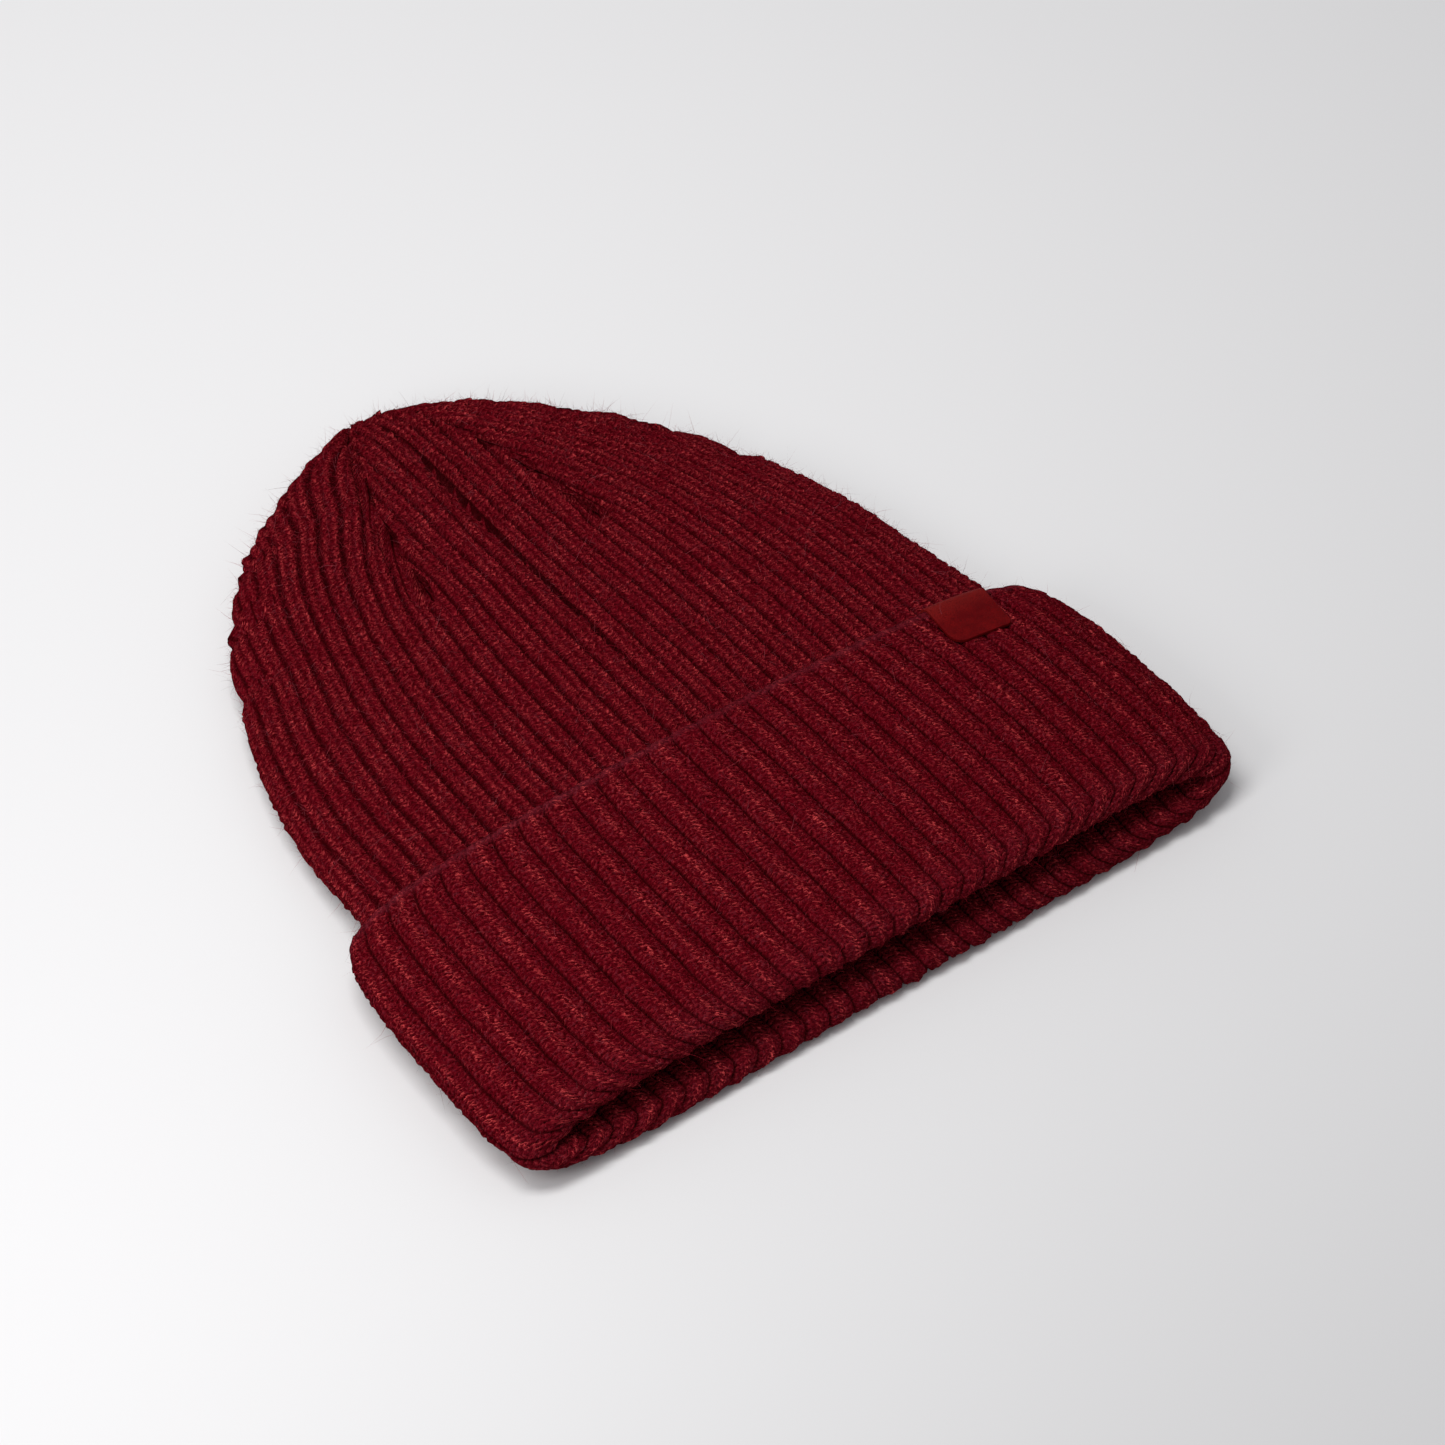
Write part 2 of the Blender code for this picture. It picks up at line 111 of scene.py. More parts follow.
# %% A socket with arithmetic, and a finish that adds nodes
class Wire:
    """One output socket of a finish's nodes."""
    def __init__(self, finish, socket):
        self.finish = finish
        self.socket = socket

    def math(self, operation, *values):
        sockets = dict(enumerate((self, *values)))
        return self.finish.node("Math", {"operation": operation}, sockets)

    def __add__(self, other):
        return self.math("ADD", other)

    def __sub__(self, other):
        return self.math("SUBTRACT", other)

    def __mul__(self, other):
        return self.math("MULTIPLY", other)

    def __truediv__(self, other):
        return self.math("DIVIDE", other)

    def __rsub__(self, other):
        return self.finish.node("Math", {"operation": "SUBTRACT"}, {0: other, 1: self})

    __radd__ = __add__
    __rmul__ = __mul__

    def rise(self, low, high):
        """0 up to low, 1 from high, and a smooth rise between."""
        return self.finish.node("MapRange", {"interpolation_type": "SMOOTHSTEP"},
                                {"Value": self, "From Min": low, "From Max": high})


class Finish:
    """A material in the making."""
    def __init__(self, name, **constants):
        self.material = bpy.data.materials.new(name)
        self.material.use_nodes = True
        self.tree = self.material.node_tree
        self.shader = self.tree.nodes["Principled BSDF"]
        for socket, value in constants.items():
            self.feed(self.shader.inputs[socket.replace("_", " ")], value)

    def feed(self, socket, value):
        if isinstance(value, Wire):
            self.tree.links.new(value.socket, socket)
        else:
            socket.default_value = value

    def node(self, kind, settings=None, sockets=None, output=0):
        """Adds a node. Sockets go by name, or by number where names repeat."""
        made = self.tree.nodes.new("ShaderNode" + kind)
        for name, value in (settings or {}).items():
            setattr(made, name, value)
        for name, value in (sockets or {}).items():
            self.feed(made.inputs[name], value)
        return Wire(self, made.outputs[output])

    def mix(self, share, first, second):
        """From one colour to another by a share from 0 to 1."""
        return self.node("Mix", {"data_type": "RGBA"}, {0: share, 6: first, 7: second}, output=2)

    def noise(self, vector, scale, detail=2.0, roughness=0.5):
        return self.node("TexNoise", {}, {"Vector": vector, "Scale": scale, "Detail": detail,
                                          "Roughness": roughness})

    def curls(self, vector, scale, distortion, width):
        """Thin curly lines, where a noise crosses its middle level."""
        noise = self.node("TexNoise", {}, {"Vector": vector, "Scale": scale, "Detail": 1.0,
                                           "Distortion": distortion})
        return 1 - (noise - 0.5).math("ABSOLUTE").rise(0.0, width)

    def vector(self, x, y, z):
        return self.node("CombineXYZ", {}, {"X": x, "Y": y, "Z": z})

    def parts(self, vector):
        """X, Y and Z of a vector."""
        split = self.node("SeparateXYZ", {}, {"Vector": vector})
        return [Wire(self, socket) for socket in split.socket.node.outputs]

    def place(self):
        """Object coordinates, in metres."""
        return self.node("TexCoord", output="Object")


# %% [markdown]
# ## The hat's loops
#
# Cut across anywhere, the hat is a flattened loop. A superellipse gives every such loop: a power of 2
# is an ellipse, and a power of 8 has nearly flat sides and tight round ends. Short tables say how wide
# and high the loop is along the cuff and along the crown, as shares of the hat's main sizes. Nearly the
# same tables shape the CAD model, so that the fine mesh lies where its solid is.

# %% Main sizes and section tables
HAT_LENGTH = 0.2375       # from the cuff's fold to the apex
CUFF_WIDTH = 0.219
CUFF_HEIGHT = 0.0855      # from the fold up to the knit's edge
CUFF_THICKNESS = 0.0218
CROWN_WIDTH = 0.192
CROWN_THICKNESS = 0.0170
KNIT = 0.0036             # one layer of knit
LAYER_GAP = 0.0003
FOLD_SET_BACK = 0.0045    # the upper side's fold lies this far behind the lower side's
EDGE_ARCH_LEFT = 0.0050   # the knit's edge is this much lower at the sides than in the middle
EDGE_ARCH_RIGHT = 0.0072
EDGE_STEP = 0.030         # the crown's underside comes down to the table over this length
GORES = 6
RIBS_PER_GORE = 10
RIBS = GORES * RIBS_PER_GORE
DART_LENGTH = 0.076


class Section(NamedTuple):
    """One flattened loop, as shares of the sizes named beside its table."""
    along: float     # the loop's place along the hat
    left: float      # how far it reaches to the left of X = 0
    right: float
    top: float       # height of its upper side
    middle: float    # X where its two halves meet
    square: float    # the superellipse's power


# Along CUFF_HEIGHT from the fold, in halves of CUFF_WIDTH and in CUFF_THICKNESS
CUFF = [
    Section(0.00, 0.965, 0.945, 0.960, 0.073, 5.5),
    Section(0.06, 0.983, 0.970, 0.985, 0.073, 5.5),
    Section(0.25, 1.000, 0.984, 1.010, 0.073, 6.0),
    Section(0.50, 1.000, 0.988, 1.030, 0.073, 6.5),
    Section(0.75, 0.994, 0.985, 1.020, 0.073, 6.5),
    Section(0.90, 0.978, 0.969, 1.005, 0.073, 7.0),
    Section(1.00, 0.942, 0.936, 1.000, 0.073, 8.0),
]

# Along HAT_LENGTH from the fold, in halves of CROWN_WIDTH and in CROWN_THICKNESS
CROWN = [
    Section(0.000, 1.030, 1.025, 1.010, 0.050, 5.5),
    Section(0.080, 1.050, 1.045, 1.010, 0.045, 6.0),
    Section(0.200, 1.050, 1.040, 0.985, 0.038, 8.0),
    Section(0.300, 1.025, 1.015, 0.960, 0.036, 8.0),
    Section(0.360, 1.005, 0.993, 0.955, 0.036, 8.0),
    Section(0.460, 0.990, 0.966, 0.982, 0.036, 8.0),
    Section(0.560, 0.952, 0.930, 0.988, 0.036, 8.0),
    Section(0.670, 0.866, 0.850, 0.985, 0.036, 7.0),
    Section(0.767, 0.765, 0.736, 0.980, 0.038, 6.0),
    Section(0.826, 0.667, 0.643, 0.975, 0.042, 6.0),
    Section(0.881, 0.550, 0.525, 0.960, 0.046, 5.0),
    Section(0.930, 0.395, 0.405, 0.920, 0.046, 4.0),
    Section(0.965, 0.255, 0.285, 0.860, 0.036, 3.0),
    Section(0.985, 0.145, 0.185, 0.780, 0.024, 2.5),
    Section(0.995, 0.070, 0.110, 0.680, 0.022, 2.2),
    Section(1.000, 0.000, 0.030, 0.600, 0.015, 2.0),
]
print("sections on the cuff", len(CUFF), "and on the crown", len(CROWN))

# %% [markdown]
# A table has few rows, so it is read through a smooth curve that never swings past them: a cubic
# with slopes that are the harmonic mean of its neighbours. A plain spline would bulge between rows.

# %% Read a table
def smooth_step(share):
    """A share from 0 to 1 that starts and ends gently."""
    share = np.clip(share, 0.0, 1.0)
    return share * share * (3.0 - 2.0 * share)


def read_table(table, column, along):
    """A column's value at a place between the rows."""
    x = np.array([row.along for row in table])
    y = np.array([getattr(row, column) for row in table])
    slope = np.diff(y) / np.diff(x)
    inner = np.zeros(len(x) - 2)
    same_way = slope[1:] * slope[:-1] > 0
    inner[same_way] = 2 * (slope[1:] * slope[:-1])[same_way] / (slope[1:] + slope[:-1])[same_way]
    slopes = np.concatenate([slope[:1], inner, slope[-1:]])
    along = min(max(along, x[0]), x[-1])
    i = min(int(np.searchsorted(x, along, side="right")) - 1, len(x) - 2)
    width = x[i + 1] - x[i]
    t = (along - x[i]) / width
    return ((1 + 2 * t) * (1 - t) ** 2 * y[i] + t * (1 - t) ** 2 * width * slopes[i]
            + t * t * (3 - 2 * t) * y[i + 1] + t * t * (t - 1) * width * slopes[i + 1])


print("the crown's reach to the right", [round(CROWN_WIDTH / 2 * read_table(CROWN, "right", place), 4)
                                         for place in (0.3, 0.6, 0.9)])

# %% [markdown]
# A row's shares times the hat's sizes make a loop in metres. Moved inwards, it gives a layer's inner
# side, and blended into another loop, it gives a turn of the knit. Where the crown runs inside the
# cuff, its loop is kept smaller than the cuff's, so that the two layers never meet.

# %% Loops in metres
class Loop(NamedTuple):
    """A flattened loop's real sizes."""
    left: float
    right: float
    low: float       # Z of its underside
    high: float
    middle: float
    square: float

    def inset(self, depth):
        return self._replace(left=self.left - depth, right=self.right - depth,
                             low=self.low + depth, high=self.high - depth)

    def towards(self, other, share):
        return Loop(*(a + (b - a) * share for a, b in zip(self, other)))


def loop_from(table, along, half_width, low, thickness):
    return Loop(read_table(table, "left", along) * half_width,
                read_table(table, "right", along) * half_width, low,
                read_table(table, "top", along) * thickness,
                read_table(table, "middle", along) * half_width, read_table(table, "square", along))


def cuff_loop(y, depth=0.0):
    """The cuff's outer side at a distance from the fold, moved inwards by depth."""
    return loop_from(CUFF, y / CUFF_HEIGHT, CUFF_WIDTH / 2, 0.0, CUFF_THICKNESS).inset(depth)


def crown_loop(y, depth=0.0):
    """The crown's outer side, which stays clear of the cuff where it runs inside it."""
    lift = 1 - float(smooth_step((y - CUFF_HEIGHT) / EDGE_STEP))
    outside = loop_from(CROWN, y / HAT_LENGTH, CROWN_WIDTH / 2, (KNIT + LAYER_GAP) * lift,
                        CROWN_THICKNESS)
    if y <= CUFF_HEIGHT:
        room = cuff_loop(y, KNIT + LAYER_GAP)
        outside = outside._replace(left=min(outside.left, room.left),
                                   right=min(outside.right, room.right),
                                   high=min(outside.high, room.high))
    return outside.inset(depth)


def edge_drop(x):
    """How much lower the knit's edge is at a place across than in the middle."""
    return np.where(x > 0, EDGE_ARCH_RIGHT, EDGE_ARCH_LEFT) * (x / (CUFF_WIDTH / 2)) ** 2


print("crown's height behind the cuff", round(crown_loop(CUFF_HEIGHT).high, 4))

# %% [markdown]
# Rib lines have to stand at even distances round a loop, and a superellipse has no formula for
# that. So one quarter of it is sampled finely, its length is added up, and each place is looked up by
# its distance from the middle of a broad side. The other quarters are the same curve, mirrored.

# %% Points round a loop
QUARTER_SAMPLES = 160
FLAT_PRESS = 1.03         # cuts a loop's bulge off: its broad sides are truly flat
SMALLEST = 1e-5           # half a loop's least size, so that none shrinks to nothing


def quarter(width, height, square):
    """A quarter of a loop, from the middle of a flat side to the outermost point."""
    across = np.sin(np.linspace(0.0, math.pi / 2, QUARTER_SAMPLES))
    up = np.minimum(np.sqrt(np.clip(1.0 - across ** square, 0.0, 1.0)) * FLAT_PRESS, 1.0)
    points = np.stack([across * width, up * height], axis=1)
    run = np.concatenate([[0.0], np.cumsum(np.linalg.norm(np.diff(points, axis=0), axis=1))])
    return points, run


def on_loop(loop, shares):
    """X and Z at shares of the way round, from the middle of the upper side over +X."""
    shares = np.mod(shares, 1.0)
    centre = (loop.low + loop.high) / 2
    height = max((loop.high - loop.low) / 2, SMALLEST)
    x = np.zeros(len(shares))
    z = np.zeros(len(shares))
    for turn, (side, upper) in enumerate([(1, 1), (1, -1), (-1, -1), (-1, 1)]):
        here = (shares >= turn / 4) & (shares < (turn + 1) / 4)
        width = loop.right - loop.middle if side > 0 else loop.left + loop.middle
        points, run = quarter(max(width, SMALLEST), height, loop.square)
        part = (shares[here] - turn / 4) * 4
        distance = (1 - part if turn in (1, 3) else part) * run[-1]
        x[here] = loop.middle + side * np.interp(distance, run, points[:, 0])
        z[here] = centre + upper * np.interp(distance, run, points[:, 1])
    return x, z


def girth(loop):
    height = max((loop.high - loop.low) / 2, SMALLEST)
    return 2 * sum(quarter(max(width, SMALLEST), height, loop.square)[1][-1]
                   for width in (loop.right - loop.middle, loop.left + loop.middle))


print("cuff girth", round(girth(cuff_loop(CUFF_HEIGHT / 2)), 4),
      "crown girth", round(girth(crown_loop(HAT_LENGTH / 2)), 4))

# %% [markdown]
# ## Ribs, wales and stitches
#
# The knit is a two by two rib: each rib shows two columns of stitches, called wales, and the two
# columns between ribs pull back into a groove. Each stitch is a V, whose point looks towards the
# knit's first edge. All of that is relief on the loop, worked out from two counts: how many ribs
# across, and how many courses up from the knit's edge. The same two counts go to the shader as an
# attribute, so that colour and relief always agree. The crown shows the knit side, and the turned-up
# cuff shows the purl side, where one wale stands between two columns of purl.

# %% Relief of the knit
COURSE = 0.0015           # height of one stitch
RIB_DEPTH = 0.0016
GROOVE = 0.19             # in ribs, from a groove's bottom to the crest beside it
WALE_HEIGHT = 0.00024     # how far a wale's middle stands above its sides
WALE_SPLIT = 0.00020      # depth of the line between a rib's two wales
SPLIT_WIDTH = 0.06        # in ribs
SPLIT_EASE = 0.4          # share of that depth that is missing between two stitches
STITCH_HEIGHT = 0.00026
STITCH_ROUND = 0.8        # a power: below 1 a stitch is fuller than a sine
STITCH_MEAN = 0.6         # about the mean of a stitch's height, which is taken off
ARM_RISE = 0.6            # in courses, from a V's point to the ends of its arms
CREST_LEVEL = -0.00018    # keeps the stitches' tops on the loop
CUFF_DEPTH = 0.0014
CUFF_GROOVE = 0.10        # the cuff shows the tube's inner side
CUFF_SLOPE = 0.00028      # its purl falls away by this much towards the groove
CUFF_WALE = 0.00032       # its one wale stands this far above the purl beside it
CUFF_WALE_WIDTH = 0.12    # in ribs
PURL_HEIGHT = 0.00020
PURL_SLANT = 0.5          # in courses, how far purl climbs over one CUFF_WALE_WIDTH
PURL_REACH = 2.0          # in CUFF_WALE_WIDTH, where it stops climbing
WALES_PER_RIB = 2
COLUMNS_PER_RIB = 4       # its wales, and the columns of purl beside them
UNEVEN = 0.00020          # how much taller or lower single stitches are
NOISE_COLUMNS = WALES_PER_RIB * RIBS
NOISE_COURSES = 256       # after so many stitches the unevenness repeats
WAVE_LENGTHS = (0.071, 0.034, 0.017)
WAVE_SIZES = (0.6, 1.4)
KNIT_SEED = 11
noise_source = np.random.default_rng(KNIT_SEED)
STITCH_NOISE = noise_source.normal(0.0, 1.0, (NOISE_COLUMNS, NOISE_COURSES))
RIB_WAVES = [(noise_source.uniform(0, 2 * math.pi, RIBS), noise_source.uniform(*WAVE_SIZES, RIBS), length)
             for length in WAVE_LENGTHS]


def wander(ribs, y):
    """A slow waver of each rib along its length, about -1 to 1."""
    rib = np.mod(np.round(ribs).astype(int), RIBS)
    return sum(size[rib] * np.sin(phase[rib] + 2 * math.pi * y / length) / len(RIB_WAVES)
               for phase, size, length in RIB_WAVES)


def stitch_lobe(phase):
    """The round top of each stitch along a column, 0 to 1."""
    return np.abs(np.sin(math.pi * phase)) ** STITCH_ROUND


def unevenness(column, phase):
    """How much taller or lower single stitches are, in standard deviations."""
    return STITCH_NOISE[np.mod(np.floor(column).astype(int), NOISE_COLUMNS),
                        np.mod(np.floor(phase).astype(int), NOISE_COURSES)]


def crown_relief(ribs, courses):
    """Height over the loop on the knit side: two wales, then a narrow groove."""
    u = np.mod(ribs, 1.0)
    crest = smooth_step(np.minimum(u, 1 - u) / GROOVE)
    aside = np.abs(np.mod(WALES_PER_RIB * u, 1.0) * 2 - 1)
    phase = courses - ARM_RISE * aside
    lobe = stitch_lobe(phase)
    split = np.exp(-((u - 0.5) / SPLIT_WIDTH) ** 2) * (1 - SPLIT_EASE + SPLIT_EASE * lobe)
    single = unevenness(WALES_PER_RIB * ribs, phase)
    on_crest = (WALE_HEIGHT * (1 - aside ** 2) - WALE_SPLIT * split + STITCH_HEIGHT * (lobe - STITCH_MEAN)
                + UNEVEN * single * (1 - aside ** 2) + CREST_LEVEL)
    return crest * on_crest - RIB_DEPTH * (1 - crest)


def cuff_relief(ribs, courses):
    """Height over the loop on the purl side: one wale between two slopes of purl."""
    u = np.mod(ribs, 1.0)
    to_groove = np.minimum(u, 1 - u)
    crest = smooth_step(to_groove / CUFF_GROOVE)
    from_wale = (u - 0.5) / CUFF_WALE_WIDTH
    wale = np.exp(-from_wale ** 2)
    phase = courses - PURL_SLANT * np.clip(from_wale, -PURL_REACH, PURL_REACH)
    single = unevenness(COLUMNS_PER_RIB * ribs, phase)
    on_crest = (CUFF_WALE * wale + PURL_HEIGHT * (stitch_lobe(phase) - STITCH_MEAN)
                - CUFF_SLOPE * (1 - 2 * to_groove) + UNEVEN * single + CREST_LEVEL)
    return crest * on_crest - CUFF_DEPTH * (1 - crest)


print("the crown's relief across a rib, in mm",
      [round(1000 * float(height), 2) for height in crown_relief(np.linspace(0, 1, 9), np.zeros(9))])

# %% [markdown]
# ## Darts
#
# Six darts take ribs away towards the apex. Between two darts the ribs stay parallel and as wide as
# they were, and each ends where it meets a dart, so a gore narrows rib by rib. Four darts are valleys
# on the hat's broad sides, with a hole wherever a groove runs into them. The other two lie on its
# folded sides, where each rib that ends bulges out, so that the outline is scalloped. Near the apex
# the left side's ribs slant outwards as well.

# %% Gather the rib lines
DART_START = HAT_LENGTH - DART_LENGTH
DART_DEPTH = 0.0019
DART_HOLE = 0.0026        # how much deeper a dart is between two ribs' ends
DART_VALLEY = 0.46        # in ribs, from a dart's bottom to its side
DART_LIP = 0.0010         # the middle gore's ribs bulge beside the dart
DART_LIP_PLACE = 0.80     # in ribs from the dart's bottom
DART_LIP_WIDTH = 0.35
DART_GROWTH = 0.04        # the darts are at their full depth once the girth is this share smaller
LEAN = 7.0                # in ribs, how far the left side's ribs have slanted outwards at the apex
LEAN_START = 0.205
LEAN_CURVE = 1.5          # a power: above 1 they slant more and more
UNDER_LEFT_GORE = 4
UPPER_LEFT_GORE = 5
SCALLOP = 0.0036          # depth of the notch between two ribs' ends at the hat's sides
SCALLOP_REACH = 1.8       # in ribs
MERGED_FLAT = 0.65        # share of a rib's relief that is gone in its round end
SLOPE_STEP = 0.002


def rib_room(y, slanting):
    """How much of the girth there is for ribs. A rib that slants takes more room across."""
    taper = (girth(crown_loop(y - SLOPE_STEP)) - girth(crown_loop(min(y + SLOPE_STEP, HAT_LENGTH))))
    slope = taper / (2 * SLOPE_STEP * GORES) if slanting else 0.0
    return girth(crown_loop(y)) / math.hypot(1.0, slope)


def rib_spacing(y, slanting):
    return max(1.0, rib_room(DART_START, slanting) / rib_room(y, slanting))


def gathered(lines, y):
    """Rib lines on the crown as shares of the way round, the same lines cut off at their darts,
    how deep they lie in a dart's valley or in a notch of the outline, and how far each rib has
    merged into its round end there."""
    half = RIBS_PER_GORE / 2
    gore = np.floor((lines + half) / RIBS_PER_GORE)
    slanting = rib_spacing(y, True)
    in_middle = np.mod(gore, GORES / 2) == 0
    spacing = np.where(in_middle, rib_spacing(y, False), slanting)
    to_left_side = ((np.mod(gore, GORES) == UNDER_LEFT_GORE) * 1.0
                    - (np.mod(gore, GORES) == UPPER_LEFT_GORE))
    slant = LEAN * max(0.0, (y - LEAN_START) / (HAT_LENGTH - LEAN_START)) ** LEAN_CURVE * to_left_side
    from_middle = np.clip((lines - gore * RIBS_PER_GORE) * spacing + slant, -half, half)
    kept = gore * RIBS_PER_GORE + (from_middle - slant) / spacing
    to_dart = half - np.abs(from_middle)
    end = np.where(from_middle < 0, -half, half)
    at_side = np.mod(gore * RIBS_PER_GORE + end, RIBS / 2) == RIBS / 4
    last_rib = (end - np.where(at_side, slant, 0.0)) / slanting
    between_ribs = (2 * np.mod(last_rib, 1.0) - 1) ** 2
    valley = (DART_DEPTH + DART_HOLE * between_ribs) * np.exp(-(to_dart / DART_VALLEY) ** 2)
    lip = np.exp(-((to_dart - DART_LIP_PLACE) / DART_LIP_WIDTH) ** 2)
    valley = valley - DART_LIP * in_middle * lip
    merged = at_side * (1 - smooth_step((to_dart - SCALLOP_REACH) / SCALLOP_REACH))
    gathering = smooth_step((slanting - 1) / DART_GROWTH)
    sink = np.where(at_side, SCALLOP * between_ribs * merged, valley) * gathering
    return (gore * RIBS_PER_GORE + from_middle) / RIBS, kept, sink, merged * gathering


for place in (0.7, 0.8, 0.9):
    print("ribs left in a gore at", place, "of the length",
          round(RIBS_PER_GORE / rib_spacing(place * HAT_LENGTH, False), 1))

# %% [markdown]
# ## Dents
#
# The hat was kept folded along its middle, which left a soft valley up the crown, and the two darts
# on its upper side begin in small hollows. Each is a row of a table, pressed into the relief.

# %% Dents of the crown's upper side
class Dent(NamedTuple):
    """A long soft valley."""
    rib: float      # the rib line it follows, counted from the middle one
    start: float    # shares of HAT_LENGTH
    end: float
    width: float    # in ribs
    depth: float    # metres


DENTS = [
    Dent(0.0, 0.38, 0.98, 0.32, 0.0016),
    Dent(0.1, 0.72, 0.985, 0.60, 0.0020),
    Dent(-5.0, 0.675, 0.745, 0.40, 0.0036),
    Dent(5.0, 0.680, 0.745, 0.40, 0.0036),
]


def dent_depth(lines, along):
    """How deep the dents press each rib line in, at a share of the hat's length."""
    centred = np.mod(lines + RIBS / 2, RIBS) - RIBS / 2
    depth = np.zeros(len(lines))
    for dent in DENTS:
        if dent.start < along < dent.end:
            across = np.exp(-((centred - dent.rib) / dent.width) ** 2)
            half_turn = math.pi * (along - dent.start) / (dent.end - dent.start)
            depth += dent.depth * across * math.sin(half_turn)
    return depth


print("the fold's depth half way up", round(float(dent_depth(np.zeros(1), 0.5)[0]), 4))

# %% [markdown]
# ## From rows to a mesh
#
# Each side of the hat is a grid: its columns follow the rib lines, and its rows follow the courses.
# A row knows its loop, its place and the way its surface faces, because the knit turns over at
# its edge and again at the cuff's fold. The grid is worked out in numpy, a row at a time, and
# joined where columns meet at a dart. Modelling one stitch and copying it 20,000 times would give
# sharper yarn, but far too many faces for a hat that is brushed soft anyway.

# %% Rows and grids
class Row(NamedTuple):
    """One row of a grid."""
    loop: Loop
    y: float
    facing: float        # 0 faces outwards, a quarter turn faces the apex, a half turn inwards
    course: float        # stitches counted from the knit's edge
    on_crown: bool
    worn_edge: float     # 1 at the knit's edge, falling to 0 beside it


RIB_WAVER = 0.035         # in ribs, how far a rib line strays to each side
COURSE_WAVER = 0.25       # in courses, so that stitches don't line up from rib to rib
COURSE_SPREAD = 3         # times that this waver changes across a rib
COURSE_SHIFT = 11         # takes it from other ribs than the line's own
COURSE_PACE = 2.3
SWELL = 0.00012           # slow swells of the whole surface
SWELL_SHIFT = 7
SWELL_PACE = 1.7
WORN_FLAT = 0.68          # share of the relief that is gone at the knit's edge
GATHERED_GROWTH = 0.70    # how much deeper the ribs stand where the darts gather them
GROWTH_LENGTH = 0.03
DENT_SHADE = 0.5          # a dent gets half the painted shade of a dart of its depth
THINNEST = 0.42           # relief may take this share of a loop's smaller size
LOOK_ASIDE = 0.0008       # share of the way round, to both sides, that shows where a loop faces
TINY = 1e-12              # keeps a direction of no length from dividing by 0


def grid_of(rows, lines):
    """Points of a grid, with its rib and course counts, and its edge wear and painted shade: 1 at
    the worn edge, and down to -1 where a dart or dent gets painted shade."""
    points = np.zeros((len(rows), len(lines), 3))
    counts = np.zeros((len(rows), len(lines), 3))
    for i, row in enumerate(rows):
        shares, kept = lines / RIBS, lines
        if row.on_crown:
            shares, kept, sink, merged = gathered(lines, row.y)
        x, z = on_loop(row.loop, shares)
        ahead_x, ahead_z = on_loop(row.loop, shares + LOOK_ASIDE)
        behind_x, behind_z = on_loop(row.loop, shares - LOOK_ASIDE)
        out = np.stack([behind_z - ahead_z, ahead_x - behind_x], axis=1)
        out /= np.maximum(np.linalg.norm(out, axis=1), TINY)[:, None]
        up = smooth_step((z - row.loop.low) / (row.loop.high - row.loop.low))
        y = row.y + FOLD_SET_BACK * up * max(0.0, 1 - row.y / CUFF_HEIGHT) ** 2
        if not row.on_crown:
            y = y - edge_drop(x) * min(row.y / CUFF_HEIGHT, 1.0)
        shifted = kept + RIB_WAVER * wander(kept, row.y)
        relief = crown_relief if row.on_crown else cuff_relief
        height = relief(shifted, np.full(len(lines), row.course)) * (1 - WORN_FLAT * row.worn_edge)
        wear_and_hollow_shade = np.full(len(lines), row.worn_edge)
        if row.on_crown:
            growth = GATHERED_GROWTH * float(smooth_step((row.y - DART_START) / GROWTH_LENGTH))
            dents = dent_depth(shares * RIBS, row.y / HAT_LENGTH)
            height = height * (1 + growth) * (1 - MERGED_FLAT * merged) - sink - dents
            # Darts and dents get painted shade by their depth; the round rib ends at the hat's sides get
            # none
            hidden = sink * (merged == 0) + dents * DENT_SHADE
            wear_and_hollow_shade = -np.clip(hidden / (DART_DEPTH + DART_HOLE), 0.0, 1.0)
        thin = THINNEST * min(row.loop.left + row.loop.right, row.loop.high - row.loop.low)
        height = np.maximum(height + SWELL * wander(lines + SWELL_SHIFT, row.y * SWELL_PACE), -thin)
        course = row.course + COURSE_WAVER * wander(COURSE_SPREAD * kept + COURSE_SHIFT, row.y * COURSE_PACE)
        cos, sin = math.cos(row.facing), math.sin(row.facing)
        points[i] = np.stack([x + out[:, 0] * cos * height, y + sin * height,
                              z + out[:, 1] * cos * height], axis=1)
        counts[i] = np.stack([shifted, course, wear_and_hollow_shade], axis=1)
    points[..., 1] += FOLD_Y
    points[..., 2] = np.maximum(points[..., 2], 0.0)
    return points, counts


print("rows of stitches on the cuff", round(CUFF_HEIGHT / COURSE))

# %% [markdown]
# Numpy's points become a mesh with one quad between four neighbours. Its columns are cut off at a
# dart, so many points lie on one spot there, and those are joined. The rib and course counts go
# along as an attribute of each point. Every piece rides on the hat's body and stands for a CAD node.

# %% Meshes and pieces
WELD_DISTANCE = 2e-6


def mesh_from_grid(name, grid, finish, node):
    """One smooth piece from a grid, joined where its points meet."""
    points, counts = grid
    height, width = points.shape[:2]
    number = np.arange(height * width).reshape(height, width)
    faces = np.stack([number[:-1, :-1], number[:-1, 1:], number[1:, 1:], number[1:, :-1]], axis=-1)
    mesh = bpy.data.meshes.new(name)
    mesh.from_pydata(points.reshape(-1, 3).tolist(), [], faces.reshape(-1, 4).tolist())
    stitch = mesh.attributes.new("stitch", "FLOAT_VECTOR", "POINT")
    stitch.data.foreach_set("vector", counts.ravel())
    shape = bmesh.new()
    shape.from_mesh(mesh)
    bmesh.ops.remove_doubles(shape, verts=shape.verts, dist=WELD_DISTANCE)
    shape.to_mesh(mesh)
    shape.free()
    mesh.polygons.foreach_set("use_smooth", np.ones(len(mesh.polygons), bool))
    return add_piece(name, mesh, finish, node)


